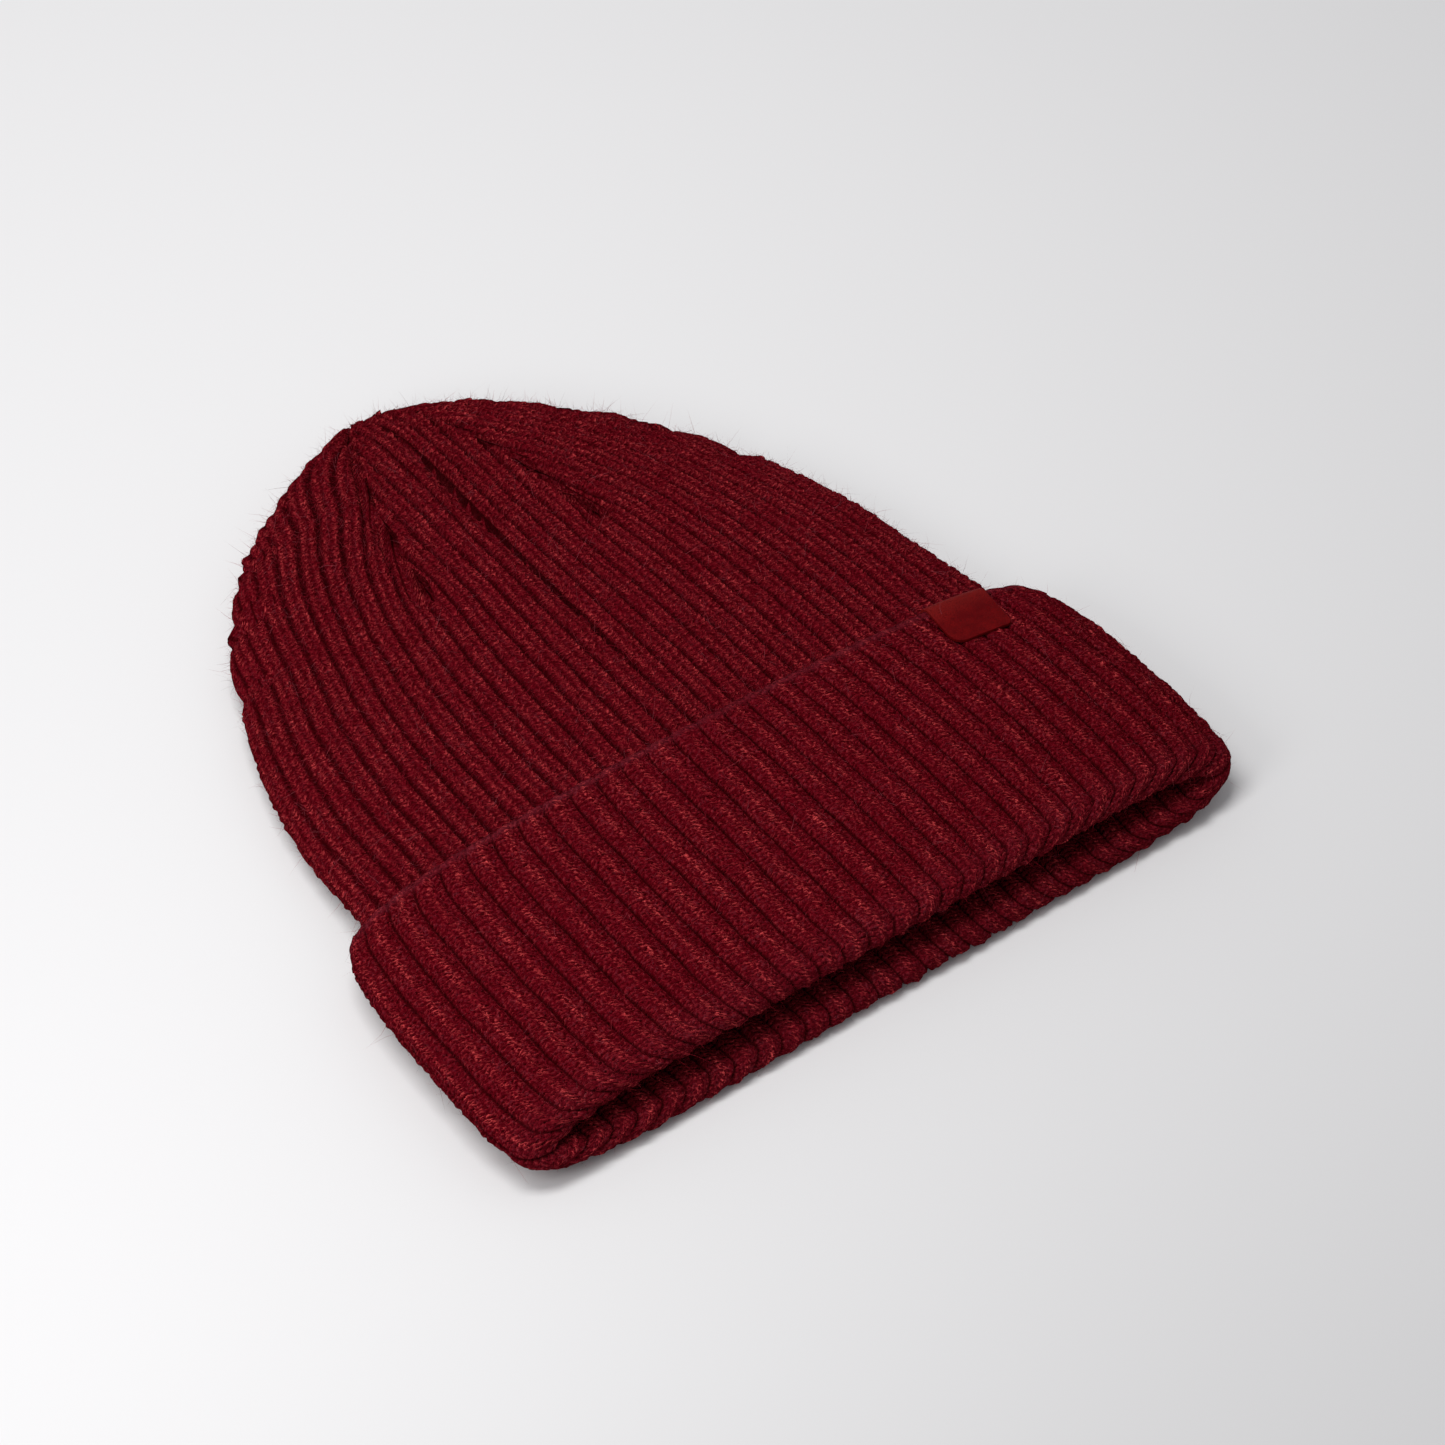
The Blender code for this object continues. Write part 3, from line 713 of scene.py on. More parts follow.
def add_piece(name, mesh, finish, node):
    """Links a mesh as a piece that rides on the hat and stands for a CAD node."""
    mesh.materials.append(finish.material)
    piece = bpy.data.objects.new(name, mesh)
    scene.collection.objects.link(piece)
    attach(piece, BODY)
    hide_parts(node)
    triangles = sum(len(polygon.vertices) - 2 for polygon in mesh.polygons)
    print(name, triangles, "triangles")
    return piece


# %% [markdown]
# ## The knit's finish
#
# The yarn is a melange: crimson fibres with some brighter and some dull mauve ones, brushed so that
# the stitches blur. Streaks of noise follow the arms of each V, which gives short bright arcs, one
# above the other, along every wale. On the purl side they all slant one way across a rib. Finer
# specks lie over them. Grooves, darts, dents and the gaps between stitches get painted shade, where
# little light gets in, and the wales' crests are left lighter as a painted highlight. The knit's worn
# edge is duller. One function makes both sides of the knit, from a few values for each.

# %% Brushed melange knit
DEEP_RED = (0.037, 0.0004, 0.0015, 1)
CRIMSON = (0.198, 0.0036, 0.0120, 1)
BRIGHT_RED = (0.700, 0.0800, 0.0800, 1)
DULL_MAUVE = (0.160, 0.0260, 0.0400, 1)
# the colour of painted shade in grooves, between wales, and in darts and dents
PAINTED_SHADE_RED = (0.014, 0.0002, 0.0006, 1)
FINE_SCALE = 1300.0       # specks of single fibres, to the metre
CURL_SCALE = 1250.0       # bright loose curls
CLOUD_SCALE = 120.0       # patches with more or fewer bright fibres
ARM_END = 1.4             # in half wales, where a stitch's arm stops climbing
ARM_CLIMB = 0.45          # in courses, over half a wale
STITCH_BLUR = 0.9         # in courses, how far the specks push the stitches about
FUZZ_DEPTH = 0.0011


class KnitSide(NamedTuple):
    """What differs between the two sides of the knit. Places and widths are in ribs."""
    wales: tuple
    half_width: float     # half a wale
    flecks: float         # strength of the bright fibres
    groove_width: float
    groove: float         # strength of the painted shade in the line between two ribs
    split: float          # strength of the painted shade in the line between two wales
    streaks: tuple        # how many to a rib across, and to a course along
    one_way: bool         # all streaks of a rib slant alike


def knit_finish(name, side):
    """Brushed yarn on one side of the knit."""
    finish = Finish(name, Roughness=1.0, Specular_IOR_Level=0.0)
    stitch = finish.node("Attribute", {"attribute_name": "stitch"}, output="Vector")
    rib, course, wear_and_hollow_shade = finish.parts(stitch)
    worn = wear_and_hollow_shade.math("MAXIMUM", 0.0)
    # Painted shade of darts and dents, from the attribute's negative values
    deep = (wear_and_hollow_shade * -1.0).math("MAXIMUM", 0.0)
    place = finish.place()
    # Where a point lies in its rib, and how far from the nearest wale
    u = rib.math("FRACT")
    crest = u.math("MINIMUM", 1 - u).rise(0.015, side.groove_width)
    off = (u - side.wales[0]).math("ABSOLUTE")
    for wale in side.wales[1:]:
        off = off.math("MINIMUM", (u - wale).math("ABSOLUTE"))
    off = off / side.half_width
    ridge = 1 - off.rise(0.3, 1.2)
    if side.one_way:
        arm = ((u - side.wales[0]) / side.half_width).math("MINIMUM", ARM_END).math("MAXIMUM", -ARM_END)
    else:
        arm = off.math("MINIMUM", ARM_END)
    # Where it lies in its stitch, blurred by single fibres
    fine = finish.noise(place, FINE_SCALE, 2.0, 0.6)
    phase = course - arm * ARM_CLIMB + (fine - 0.5) * STITCH_BLUR
    gap = (phase * (2 * math.pi)).math("SINE") * 0.5 + 0.5
    across, along = side.streaks
    flow = finish.noise(finish.vector(rib * across, phase * along, 0.0), 1.0, 1.0, 0.5)
    cloud = finish.noise(place, CLOUD_SCALE, 2.0, 0.5)
    curl = finish.curls(place, CURL_SCALE, 1.4, 0.080)
    # From deep red to crimson, then bright and dull fibres, then the painted shade
    light = flow.rise(0.34, 0.66) * 0.44 + fine.rise(0.31, 0.69) * 0.35 + 0.12
    # Painted shade between the stitches and on the wales' sides, which leaves the crests lighter as a
    # painted highlight
    light = light * (gap * 0.30 + 0.70) * (ridge * 0.20 + 0.80)
    colour = finish.mix(light * 1.15, DEEP_RED, CRIMSON)
    # Bright fibres are melange, and partly a painted highlight where they gather on the wales' crests
    strength = (ridge * 0.65 + 0.35) * (cloud.rise(0.28, 0.72) * 0.7 + 0.3) * side.flecks
    fleck = flow.rise(0.48, 0.66) * 0.6 + curl * 0.5
    colour = finish.mix(fleck * light.rise(0.25, 0.75) * strength, colour, BRIGHT_RED)
    dull = fine.rise(0.52, 0.70) * (1 - ridge) * 0.45 + worn * 0.28
    colour = finish.mix(dull * (cloud * 0.8 + 0.4), colour, DULL_MAUVE)
    # Painted shade where little light gets in: grooves, the line between two wales, and darts and dents
    painted_shade = ((1 - crest) * (fine * 1.4 + 0.3) * side.groove
            + (1 - (u - 0.5).math("ABSOLUTE").rise(0.02, 0.09)) * side.split
            + deep.rise(0.15, 0.85) * 0.62)
    colour = finish.mix(painted_shade * (1 - worn * 0.6), colour, PAINTED_SHADE_RED)
    finish.feed(finish.shader.inputs["Base Color"], colour)
    height = fine * 0.5 + flow * 0.7 + gap * 0.35
    bump = finish.node("Bump", {}, {"Strength": 1.0, "Distance": FUZZ_DEPTH, "Height": height})
    finish.feed(finish.shader.inputs["Normal"], bump)
    print(name, "has", len(finish.tree.nodes), "nodes")
    return finish


knit_side = knit_finish("knit_side", KnitSide(
    wales=(0.28, 0.72), half_width=0.17, flecks=0.75, groove_width=0.14, groove=0.64, split=0.12,
    streaks=(6.0, 4.2), one_way=False))
purl_side = knit_finish("purl_side", KnitSide(
    wales=(0.5,), half_width=0.14, flecks=1.15, groove_width=0.085, groove=0.68, split=0.0,
    streaks=(9.0, 3.0), one_way=True))

# %% [markdown]
# ## Crown
#
# The crown's upper half is what the camera sees, so it gets ten columns a rib and four rows a
# stitch. Its lower half lies on the table, where half as many of each are enough. They meet in a
# groove at each side, where no joint shows. Towards the apex the rows come closer, because the hat
# rounds off.

# %% Crown rows and pieces
CUFF_COURSES = CUFF_HEIGHT / COURSE
FOLD_RADIUS = KNIT + LAYER_GAP / 2
SLIT_DEPTH = 0.022        # how far down behind the cuff the fine crown goes
TIP_START = 0.955         # share of the length where rows begin to come closer
TIP_COURSES = 9           # rows of stitches from there to the apex
TIP_CLOSENESS = 1.6       # a power: above 1 the rows come closer
TIP_HOLE = 0.00004        # the last row ends this far before the apex
FRONT_COLUMNS = 10        # to a rib
BACK_COLUMNS = 5
FRONT_ROWS = 4            # to a row of stitches
BACK_ROWS = 2
SIDE = RIBS // 4          # ribs from the middle of a broad side to the hat's side


def crown_course(y):
    """Stitches from the knit's edge, over the fold, to a place on the crown."""
    return 2 * CUFF_COURSES + (y - CUFF_HEIGHT) / COURSE


def crown_rows(rows_per_course):
    """The crown's rows, from the slit behind the cuff to the apex."""
    step = COURSE / rows_per_course
    stations = list(np.arange(CUFF_HEIGHT - SLIT_DEPTH, TIP_START * HAT_LENGTH, step))
    left = HAT_LENGTH - stations[-1]
    tip_rows = TIP_COURSES * rows_per_course
    for i in range(1, tip_rows):
        stations.append(HAT_LENGTH - left * (1 - i / tip_rows) ** TIP_CLOSENESS)
    stations.append(HAT_LENGTH - TIP_HOLE)
    return [Row(crown_loop(y), y, 0.0, crown_course(y), True, 0.0) for y in stations]


def rib_lines(first, last, columns):
    """The columns from one rib to another, counted in ribs."""
    return np.arange(first * columns, last * columns + 1) / columns


crown_left = grid_of(crown_rows(FRONT_ROWS), rib_lines(-SIDE, 0, FRONT_COLUMNS))
crown_right = grid_of(crown_rows(FRONT_ROWS), rib_lines(0, SIDE, FRONT_COLUMNS))
crown_back = grid_of(crown_rows(BACK_ROWS), rib_lines(SIDE, 3 * SIDE, BACK_COLUMNS))
mesh_from_grid("crown_left_knit", crown_left, knit_side, "knit_body")
mesh_from_grid("crown_right_knit", crown_right, knit_side, "knit_body")
mesh_from_grid("crown_back_knit", crown_back, knit_side, "knit_body")

# %% [markdown]
# ## Cuff
#
# The cuff starts down in the slit behind it, rises, turns over the knit's edge, runs down
# the outside to the fold, turns again round the fold and goes on into the hat. One grid follows
# it all the way, so the ribs go round both turns without a joint. The cuff's underside keeps ten
# columns a rib, because its fold shows from the front. Where a layer is hidden, rows are sparser.

# %% Cuff rows and pieces
EDGE_RADIUS = KNIT / 2
LEAST_EDGE_ROWS = 4
HIDDEN_STEP = 2           # rows of a hidden layer are this many times further apart
HOLLOW_REACH = 0.030      # how far the fine cuff goes on inside the hat
FOLD_WORN = 0.25          # share of wear at the cuff's fold
WEAR_INTO_SLIT = 0.003
WEAR_BELOW_EDGE = 0.0010
WEAR_ABOVE_FOLD = 0.005
WEAR_INTO_HOLLOW = 0.008


def cuff_rows(rows_per_course):
    """The cuff's rows: in the slit, over the edge, down the outside, round the fold, inside."""
    step = COURSE / rows_per_course
    rows = []
    straight = CUFF_HEIGHT - EDGE_RADIUS
    for y in np.arange(straight - SLIT_DEPTH, straight, step * HIDDEN_STEP):
        worn = math.exp(-(straight - y) / WEAR_INTO_SLIT)
        rows.append(Row(cuff_loop(y, KNIT), y, math.pi, (y - straight) / COURSE, False, worn))
    edge_rows = max(LEAST_EDGE_ROWS, round(math.pi * EDGE_RADIUS / step))
    for angle in np.linspace(math.pi, 0.0, edge_rows + 1)[:-1]:
        y = straight + EDGE_RADIUS * math.sin(angle)
        loop = cuff_loop(min(y, CUFF_HEIGHT), EDGE_RADIUS * (1 - math.cos(angle)))
        rows.append(Row(loop, y, angle, (math.pi - angle) * EDGE_RADIUS / COURSE, False, 1.0))
    edge_course = math.pi * EDGE_RADIUS / COURSE
    for y in np.arange(straight, FOLD_RADIUS, -step):
        worn = math.exp(-((straight - y) / WEAR_BELOW_EDGE) ** 2)
        worn += FOLD_WORN * math.exp(-((y - FOLD_RADIUS) / WEAR_ABOVE_FOLD) ** 2)
        rows.append(Row(cuff_loop(y), y, 0.0, edge_course + (straight - y) / COURSE, False, worn))
    course = edge_course + (straight - FOLD_RADIUS) / COURSE
    fold_rows = round(math.pi * FOLD_RADIUS / step)
    for angle in np.linspace(0.0, math.pi, fold_rows + 1):
        y = FOLD_RADIUS * (1 - math.sin(angle))
        loop = cuff_loop(y).towards(crown_loop(y, KNIT), (1 - math.cos(angle)) / 2)
        rows.append(Row(loop, y, -angle, course + angle * FOLD_RADIUS / COURSE, False, FOLD_WORN))
    course += math.pi * FOLD_RADIUS / COURSE
    for y in np.arange(FOLD_RADIUS + step * HIDDEN_STEP, HOLLOW_REACH, step * HIDDEN_STEP):
        worn = FOLD_WORN * math.exp(-((y - FOLD_RADIUS) / WEAR_INTO_HOLLOW) ** 2)
        rows.append(Row(crown_loop(y, KNIT), y, -math.pi, course + (y - FOLD_RADIUS) / COURSE, False, worn))
    return rows


cuff_left = grid_of(cuff_rows(FRONT_ROWS), rib_lines(-SIDE, 0, FRONT_COLUMNS))
cuff_right = grid_of(cuff_rows(FRONT_ROWS), rib_lines(0, SIDE, FRONT_COLUMNS))
cuff_back = grid_of(cuff_rows(BACK_ROWS), rib_lines(SIDE, 3 * SIDE, FRONT_COLUMNS))
mesh_from_grid("cuff_left_knit", cuff_left, purl_side, "knit_body")
mesh_from_grid("cuff_right_knit", cuff_right, purl_side, "knit_body")
mesh_from_grid("cuff_back_knit", cuff_back, purl_side, "knit_body")

# %% [markdown]
# ## Inside
#
# Little of the inside shows through the mouth, but the hat is hollow and should look so from the
# front. One coarse grid lines it up to the apex.

# %% Inner side
INNER_COLUMNS = 4         # to a rib
INNER_ROWS = 60
INNER_OVERLAP = 0.001     # it begins this far before the cuff's inner end
INNER_END = 0.962         # share of the hat's length


def inner_rows():
    stations = np.linspace(HOLLOW_REACH - INNER_OVERLAP, INNER_END * HAT_LENGTH, INNER_ROWS)
    return [Row(crown_loop(y, KNIT), y, math.pi, crown_course(y), True, 0.0) for y in stations]


inner = grid_of(inner_rows(), rib_lines(0, RIBS, INNER_COLUMNS))
mesh_from_grid("inner_knit", inner, purl_side, "knit_body")

# %% [markdown]
# ## Loose fibres
#
# Brushing pulls fibres out of the yarn. They blur the stitches and give the hat its soft outline.
# Hair curves would not survive an export, so each fibre is a narrow ribbon of two faces that
# ends in a point. First, random places are chosen on a grid. Each small quad is chosen as often as
# its area asks, or the fibres would crowd together where the grid is fine.

# %% Places for fibres
def quad_sides(points):
    """Two sides of each quad of a grid, and their cross product, whose length is its area."""
    down = points[1:, :-1] - points[:-1, :-1]
    across = points[:-1, 1:] - points[:-1, :-1]
    return down, across, np.cross(across, down)


def grid_frames(grid, rng, count):
    """Random places on a grid, by area, with the surface's outward direction there."""
    points, _ = grid
    down, across, normal = quad_sides(points)
    area = np.linalg.norm(normal, axis=2)
    chance = area.ravel() / area.sum()
    chosen = rng.choice(area.size, count, p=chance)
    i, j = np.unravel_index(chosen, area.shape)
    a, b = rng.random((2, count, 1))
    place = points[i, j] + down[i, j] * a + across[i, j] * b
    outward = normal[i, j] / area[i, j][:, None]
    return place, outward


quad_areas = np.linalg.norm(quad_sides(crown_left[0])[2], axis=2)
print("area of the crown's left half", round(quad_areas.sum(), 4), "square metres")

# %% [markdown]
# A fibre leans out of the surface at a small angle, in any direction along it, and bends as it goes.
# Its ribbon gets narrower towards the point. Each fibre also draws a tone, which its finish turns
# into a colour, so that bright and dull ones lie mixed.

# %% Fibres as ribbons
FIBRE_WIDTH = 0.000065
FIBRE_TAPER = 0.5         # share of the width that is lost on the way to the point
FIBRE_BEND = 0.55         # share of its length that a fibre bends aside, on average
ABOVE_TABLE = 0.00015


def fibre_mesh(name, place, outward, lengths, lean, rng, steps):
    """Ribbons that start at places and lean out of the surface."""
    count = len(place)
    random = rng.normal(size=(count, 3))
    along = random - outward * np.sum(random * outward, axis=1)[:, None]
    along /= np.linalg.norm(along, axis=1)[:, None]
    lift = lean[:, None]
    direction = along * np.cos(lift) + outward * np.sin(lift)
    bend = rng.normal(size=(count, 3)) * FIBRE_BEND
    side = np.cross(direction, rng.normal(size=(count, 3)))
    side /= np.linalg.norm(side, axis=1)[:, None]
    rings = []
    for step in range(steps + 1):
        t = step / steps
        spine = place + lengths[:, None] * (direction * t + bend * t * t)
        spine[:, 2] = np.maximum(spine[:, 2], ABOVE_TABLE)
        half = side * FIBRE_WIDTH / 2 * (1 - FIBRE_TAPER * t)
        rings += [spine - half, spine + half] if step < steps else [spine]
    size = len(rings)
    points = np.stack(rings, axis=1).reshape(-1, 3)
    base = np.arange(count)[:, None] * size
    quads = np.concatenate([base + np.array([k, k + 1, k + 3, k + 2])
                            for k in range(0, 2 * (steps - 1), 2)])
    tips = base + np.array([size - 3, size - 2, size - 1])
    mesh = bpy.data.meshes.new(name)
    mesh.from_pydata(points.tolist(), [], quads.tolist() + tips.tolist())
    tone = mesh.attributes.new("tone", "FLOAT", "POINT")
    tone.data.foreach_set("value", np.repeat(rng.random(count), size))
    mesh.polygons.foreach_set("use_smooth", np.ones(len(mesh.polygons), bool))
    return mesh


DARK_FIBRE = (0.080, 0.0015, 0.0047, 1)
RED_FIBRE = (0.270, 0.0120, 0.0240, 1)
PALE_FIBRE = (0.270, 0.0700, 0.0850, 1)


def fibre_finish(name):
    finish = Finish(name, Roughness=1.0, Specular_IOR_Level=0.0)
    tone = finish.node("Attribute", {"attribute_name": "tone"}, output="Fac")
    colour = finish.mix(tone.rise(0.0, 0.75), DARK_FIBRE, RED_FIBRE)
    colour = finish.mix(tone.rise(0.72, 1.0) * 0.8, colour, PALE_FIBRE)
    finish.feed(finish.shader.inputs["Base Color"], colour)
    return finish


fibre = fibre_finish("loose_fibre")

# %% [markdown]
# Each side of the hat is brushed with its own seed, so that the fibres lie the same in every run. The
# cuff is fuzzier than the crown, and the underside needs few. Most fibres are short, and a few long
# hairs with more steps lie over them.

# %% Brush the hat
class Brush(NamedTuple):
    """One kind of loose fibre."""
    shortest: float
    longest: float
    steepest: float       # lean in radians, from the surface
    steps: int            # ribbon pieces along a fibre


FUZZ = Brush(shortest=0.0008, longest=0.0044, steepest=1.15, steps=2)
HAIR = Brush(shortest=0.003, longest=0.008, steepest=0.3, steps=8)
FLATTEST = 0.05           # radians
SHORT_ONES = 2.5          # a power: above 1 most fibres are short
HAIRS = 80                # on each upper piece
FUZZ_SEED = 21
HAIR_SEED = 51


def brush(name, grid, count, kind, seed):
    """Covers one side of the hat with fibres."""
    rng = np.random.default_rng(seed)
    place, outward = grid_frames(grid, rng, count)
    lengths = kind.shortest + (kind.longest - kind.shortest) * rng.random(count) ** SHORT_ONES
    lean = rng.uniform(FLATTEST, kind.steepest, count)
    mesh = fibre_mesh(name, place, outward, lengths, lean, rng, kind.steps)
    return add_piece(name, mesh, fibre, "knit_body")


UPPER = [("crown_left", crown_left, 20000), ("crown_right", crown_right, 20000),
         ("cuff_left", cuff_left, 26000), ("cuff_right", cuff_right, 26000)]
UNDER = [("crown_back", crown_back, 10000), ("cuff_back", cuff_back, 10000)]
for seed, (name, grid, count) in enumerate(UPPER + UNDER, start=FUZZ_SEED):
    brush(name + "_fibres", grid, count, FUZZ, seed)
for seed, (name, grid, _) in enumerate(UPPER, start=HAIR_SEED):
    brush(name + "_hairs", grid, HAIRS, HAIR, seed)

# %% [markdown]
# ## Leather tab
#
# The tab is a strip of thin leather, folded over the knit's edge. Its path over the edge is a
# straight leg, a half turn and a shorter leg inside. It leans with the ribs, is pressed a little
# into their soft crests and is lighter where its fold has been rubbed.

# %% The tab's path over the edge
TAB_WIDTH = 0.0172
TAB_LENGTH = 0.0154       # from the knit's edge down to its lower end
TAB_INNER_LENGTH = 0.0075
TAB_THICKNESS = 0.0010
TAB_FROM_SIDE = 0.0311    # from half of CUFF_WIDTH to the tab's middle
TAB_LEAN = 0.14           # how far its lower end lies to the left, as a share of its length
TAB_LEFT_CORNER = 0.0040
TAB_RIGHT_CORNER = 0.0017
TAB_RUBBED = 0.008        # length of the lighter part beside the fold
TAB_PRESS = 0.0003        # how far the tab sits down into the ribs' soft crests
TAB_INNER_GAP = 0.0007
TAB_LEG_STEPS = 20
TAB_TURN_STEPS = 14
TAB_MIDDLE = CUFF_WIDTH / 2 - TAB_FROM_SIDE


def upper_side(loop, x):
    """Height of a loop's upper side at a place across it."""
    width = loop.right - loop.middle
    bulge = math.sqrt(1 - min(abs(x - loop.middle) / width, 1.0) ** loop.square)
    half = (loop.high - loop.low) / 2
    return (loop.low + loop.high) / 2 + min(bulge * FLAT_PRESS, 1.0) * half


def tab_path(x, cut):
    """The tab's middle line at a place across it: X, Y, Z and the way its outer side faces."""
    edge = CUFF_HEIGHT - float(edge_drop(x))
    away = TAB_THICKNESS / 2 - TAB_PRESS
    inner_away = TAB_INNER_GAP + TAB_THICKNESS / 2
    top = upper_side(cuff_loop(edge), x) + away
    bottom = upper_side(cuff_loop(edge, KNIT), x) - inner_away
    radius = (top - bottom) / 2
    turn = edge - EDGE_RADIUS
    path = []
    for y in np.linspace(edge - TAB_LENGTH + cut, turn, TAB_LEG_STEPS):
        leaning = x - TAB_LEAN * (turn - y)
        path.append((leaning, y, upper_side(cuff_loop(y), leaning) + away, 0.0, 1.0))
    for angle in np.linspace(0.0, math.pi, TAB_TURN_STEPS + 1)[1:-1]:
        path.append((x, turn + radius * math.sin(angle), (top + bottom) / 2 + radius * math.cos(angle),
                     math.sin(angle), math.cos(angle)))
    for y in np.linspace(turn, turn - TAB_INNER_LENGTH, TAB_LEG_STEPS // 2):
        leaning = x - TAB_LEAN * (turn - y)
        path.append((leaning, y, upper_side(cuff_loop(y, KNIT), leaning) - inner_away, 0.0, -1.0))
    return np.array(path)


tab_steps = np.linalg.norm(np.diff(tab_path(TAB_MIDDLE, 0.0)[:, :3], axis=0), axis=1)
print("the tab's length over the edge", round(tab_steps.sum(), 4))

# %% [markdown]
# Thin split leather has small cells, darker in the creases between them, and soft clouds where the
# dye took unevenly. Cells come from the distance to a Voronoi pattern's edges.

# %% Rubbed red leather
LEATHER_DARK = (0.108, 0.0014, 0.0026, 1)
LEATHER_LIGHT = (0.158, 0.0030, 0.0040, 1)
LEATHER_RUBBED = (0.200, 0.0110, 0.0095, 1)
LEATHER_CREASE = (0.050, 0.0010, 0.0018, 1)
CELL_SCALE = 2600.0       # to the metre
CELL_DEPTH = 0.00012


def leather_finish(name):
    finish = Finish(name, Specular_IOR_Level=0.03)
    place = finish.place()
    _, along, _ = finish.parts(place)
    fold = FOLD_Y + CUFF_HEIGHT - float(edge_drop(TAB_MIDDLE))
    rubbed = along.rise(fold - TAB_RUBBED, fold)
    grain = finish.node("TexVoronoi", {"feature": "DISTANCE_TO_EDGE"},
                        {"Vector": place, "Scale": CELL_SCALE})
    cloud = finish.noise(place, 300.0, 3.0, 0.6)
    fine = finish.noise(place, 4000.0, 2.0, 0.6)
    colour = finish.mix(cloud.rise(0.3, 0.7), LEATHER_DARK, LEATHER_LIGHT)
    colour = finish.mix(rubbed * 0.8, colour, LEATHER_RUBBED)
    colour = finish.mix((1 - grain.rise(0.0, 0.20)) * (fine * 0.9 + 0.2), colour, LEATHER_CREASE)
    finish.feed(finish.shader.inputs["Base Color"], colour)
    finish.feed(finish.shader.inputs["Roughness"], 0.50 + cloud * 0.25)
    bump = finish.node("Bump", {}, {"Strength": 0.35, "Distance": CELL_DEPTH,
                                    "Height": grain.rise(0.0, 0.15) + fine * 0.4})
    finish.feed(finish.shader.inputs["Normal"], bump)
    print(name, "has", len(finish.tree.nodes), "nodes")
    return finish


tab_leather = leather_finish("tab_leather")

# %% [markdown]
# The strip gets its thickness from two sheets, half a thickness to each side of its path, and rims
# that close them. The lower end's corners are cut round, the left one more. A Solidify modifier
# could make the thickness too, but the rims stay easier to control here. A Bevel modifier rounds
# the cut sides.

# %% Build the tab
TAB_COLUMNS = 33
TAB_EDGE_ROUND = 0.0003
TAB_ROUND_STEPS = 3
SHARP = math.radians(50)  # only edges that turn by more than this are rounded


def build_tab():
    """A strip along the tab's path, as two sheets and the rims between them."""
    half = TAB_WIDTH / 2
    outer, inner_side = [], []
    for place in np.linspace(-half, half, TAB_COLUMNS):
        corner = TAB_LEFT_CORNER if place < 0 else TAB_RIGHT_CORNER
        past_corner = max(0.0, abs(place) - (half - corner))
        cut = corner - math.sqrt(max(corner ** 2 - past_corner ** 2, 0.0))
        path = tab_path(TAB_MIDDLE + place, cut)
        for side, rows in ((0.5, outer), (-0.5, inner_side)):
            offset = TAB_THICKNESS * side
            rows.append([(x, FOLD_Y + y + normal_y * offset, z + normal_z * offset)
                         for x, y, z, normal_y, normal_z in path])
    steps = len(outer[0])
    points = [point for rows in (outer, inner_side) for row in rows for point in row]
    number = np.arange(len(points)).reshape(2, TAB_COLUMNS, steps)
    faces = []
    for i in range(TAB_COLUMNS - 1):
        for j in range(steps - 1):
            a, b = number[0, i, j], number[0, i + 1, j]
            faces.append((a, b, b + 1, a + 1))
            c, d = number[1, i, j], number[1, i + 1, j]
            faces.append((c, c + 1, d + 1, d))
        for j, flip in ((0, False), (steps - 1, True)):
            rim = [number[0, i, j], number[1, i, j], number[1, i + 1, j], number[0, i + 1, j]]
            faces.append(rim[::-1] if flip else rim)
    for i, flip in ((0, False), (TAB_COLUMNS - 1, True)):
        for j in range(steps - 1):
            rim = [number[0, i, j], number[0, i, j + 1], number[1, i, j + 1], number[1, i, j]]
            faces.append(rim[::-1] if flip else rim)
    mesh = bpy.data.meshes.new("leather_tab_skin")
    mesh.from_pydata(points, [], [tuple(int(v) for v in face) for face in faces])
    mesh.polygons.foreach_set("use_smooth", np.ones(len(mesh.polygons), bool))
    piece = add_piece("leather_tab_skin", mesh, tab_leather, "leather_tab")
    bevel = piece.modifiers.new("cut_sides", "BEVEL")
    bevel.width = TAB_EDGE_ROUND
    bevel.segments = TAB_ROUND_STEPS
    bevel.angle_limit = SHARP
    return piece


build_tab()

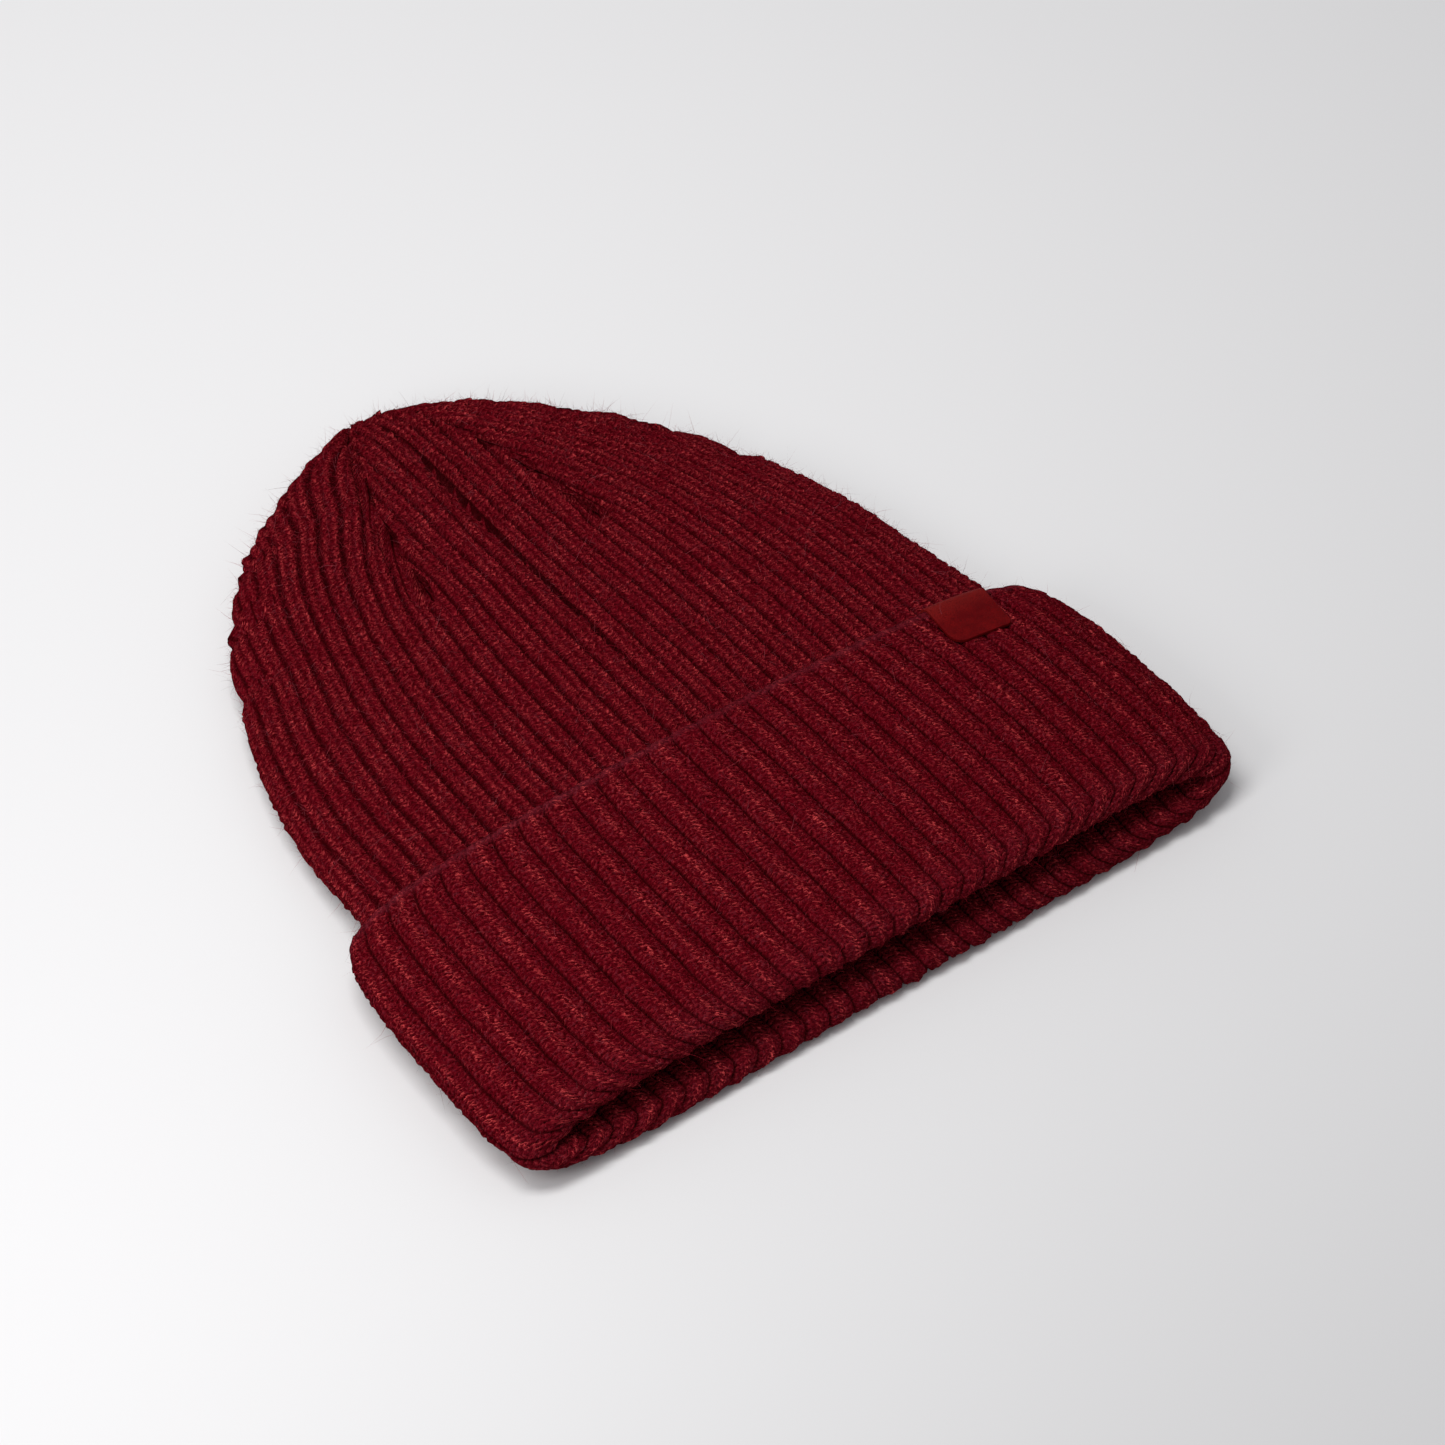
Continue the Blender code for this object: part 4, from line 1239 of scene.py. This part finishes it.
# %% [markdown]
# ## Floor and light
#
# A product photograph of cloth wants soft light with a clear side to it: soft enough that the
# ribs don't cut hard lines, and from one side so that they show at all. A big lamp above does that.
# It stands to the left and is aimed past the hat, so that the pale table gets darker towards the
# front right. A small lamp near the left side lifts the cuff, and an even world fills the rest.

# %% Floor and lamps
FLOOR_REACH = 3.0
FLOOR_GAP = 0.0002        # the table stays this far below the knit that lies on it
PALE_TABLE = (0.80, 0.80, 0.81, 1)
WARM_WHITE = (1.0, 0.99, 0.98)
COOL_WHITE = (0.98, 0.98, 1.0, 1)
WORLD_STRENGTH = 0.355
scene.view_settings.view_transform = "Standard"


def add_floor():
    mesh = bpy.data.meshes.new("floor")
    corners = [(FLOOR_REACH * x, FLOOR_REACH * y, 0) for x, y in ((-1, -1), (1, -1), (1, 1), (-1, 1))]
    mesh.from_pydata(corners, [], [(0, 1, 2, 3)])
    finish = Finish("pale_table", Roughness=0.75, Base_Color=PALE_TABLE, Specular_IOR_Level=0.2)
    mesh.materials.append(finish.material)
    floor = bpy.data.objects.new("floor", mesh)
    floor.location.z = -FLOOR_GAP
    scene.collection.objects.link(floor)


def add_lamp(name, place, aim, size, watts):
    """A square lamp at a place, aimed at a point."""
    lamp = bpy.data.lights.new(name, "AREA")
    lamp.shape = "SQUARE"
    lamp.size = size
    lamp.energy = watts
    lamp.color = WARM_WHITE
    made = bpy.data.objects.new(name, lamp)
    made.location = place
    made.rotation_mode = "QUATERNION"
    made.rotation_quaternion = (Vector(aim) - Vector(place)).to_track_quat("-Z", "Y")
    scene.collection.objects.link(made)
    print(name, "lamp of", watts, "watts at", place)


add_floor()
add_lamp("key", (-0.27, 0.04, 1.00), (0.55, 1.50, 0.0), size=0.60, watts=10.8)
add_lamp("near", (-0.32, -0.14, 0.27), (0.0, 0.0, 0.01), size=0.16, watts=0.42)
world = bpy.data.worlds.new("studio")
world.use_nodes = True
background = world.node_tree.nodes["Background"]
background.inputs["Color"].default_value = COOL_WHITE
background.inputs["Strength"].default_value = WORLD_STRENGTH
scene.world = world

# %% [markdown]
# ## Sizes
#
# The dressed hat stays within its CAD model's box, apart from the fibres that stand out of it.

# %% Print the CAD model's box
print("CAD box", [round(v, 4) for v in cad_low], [round(v, 4) for v in cad_high])
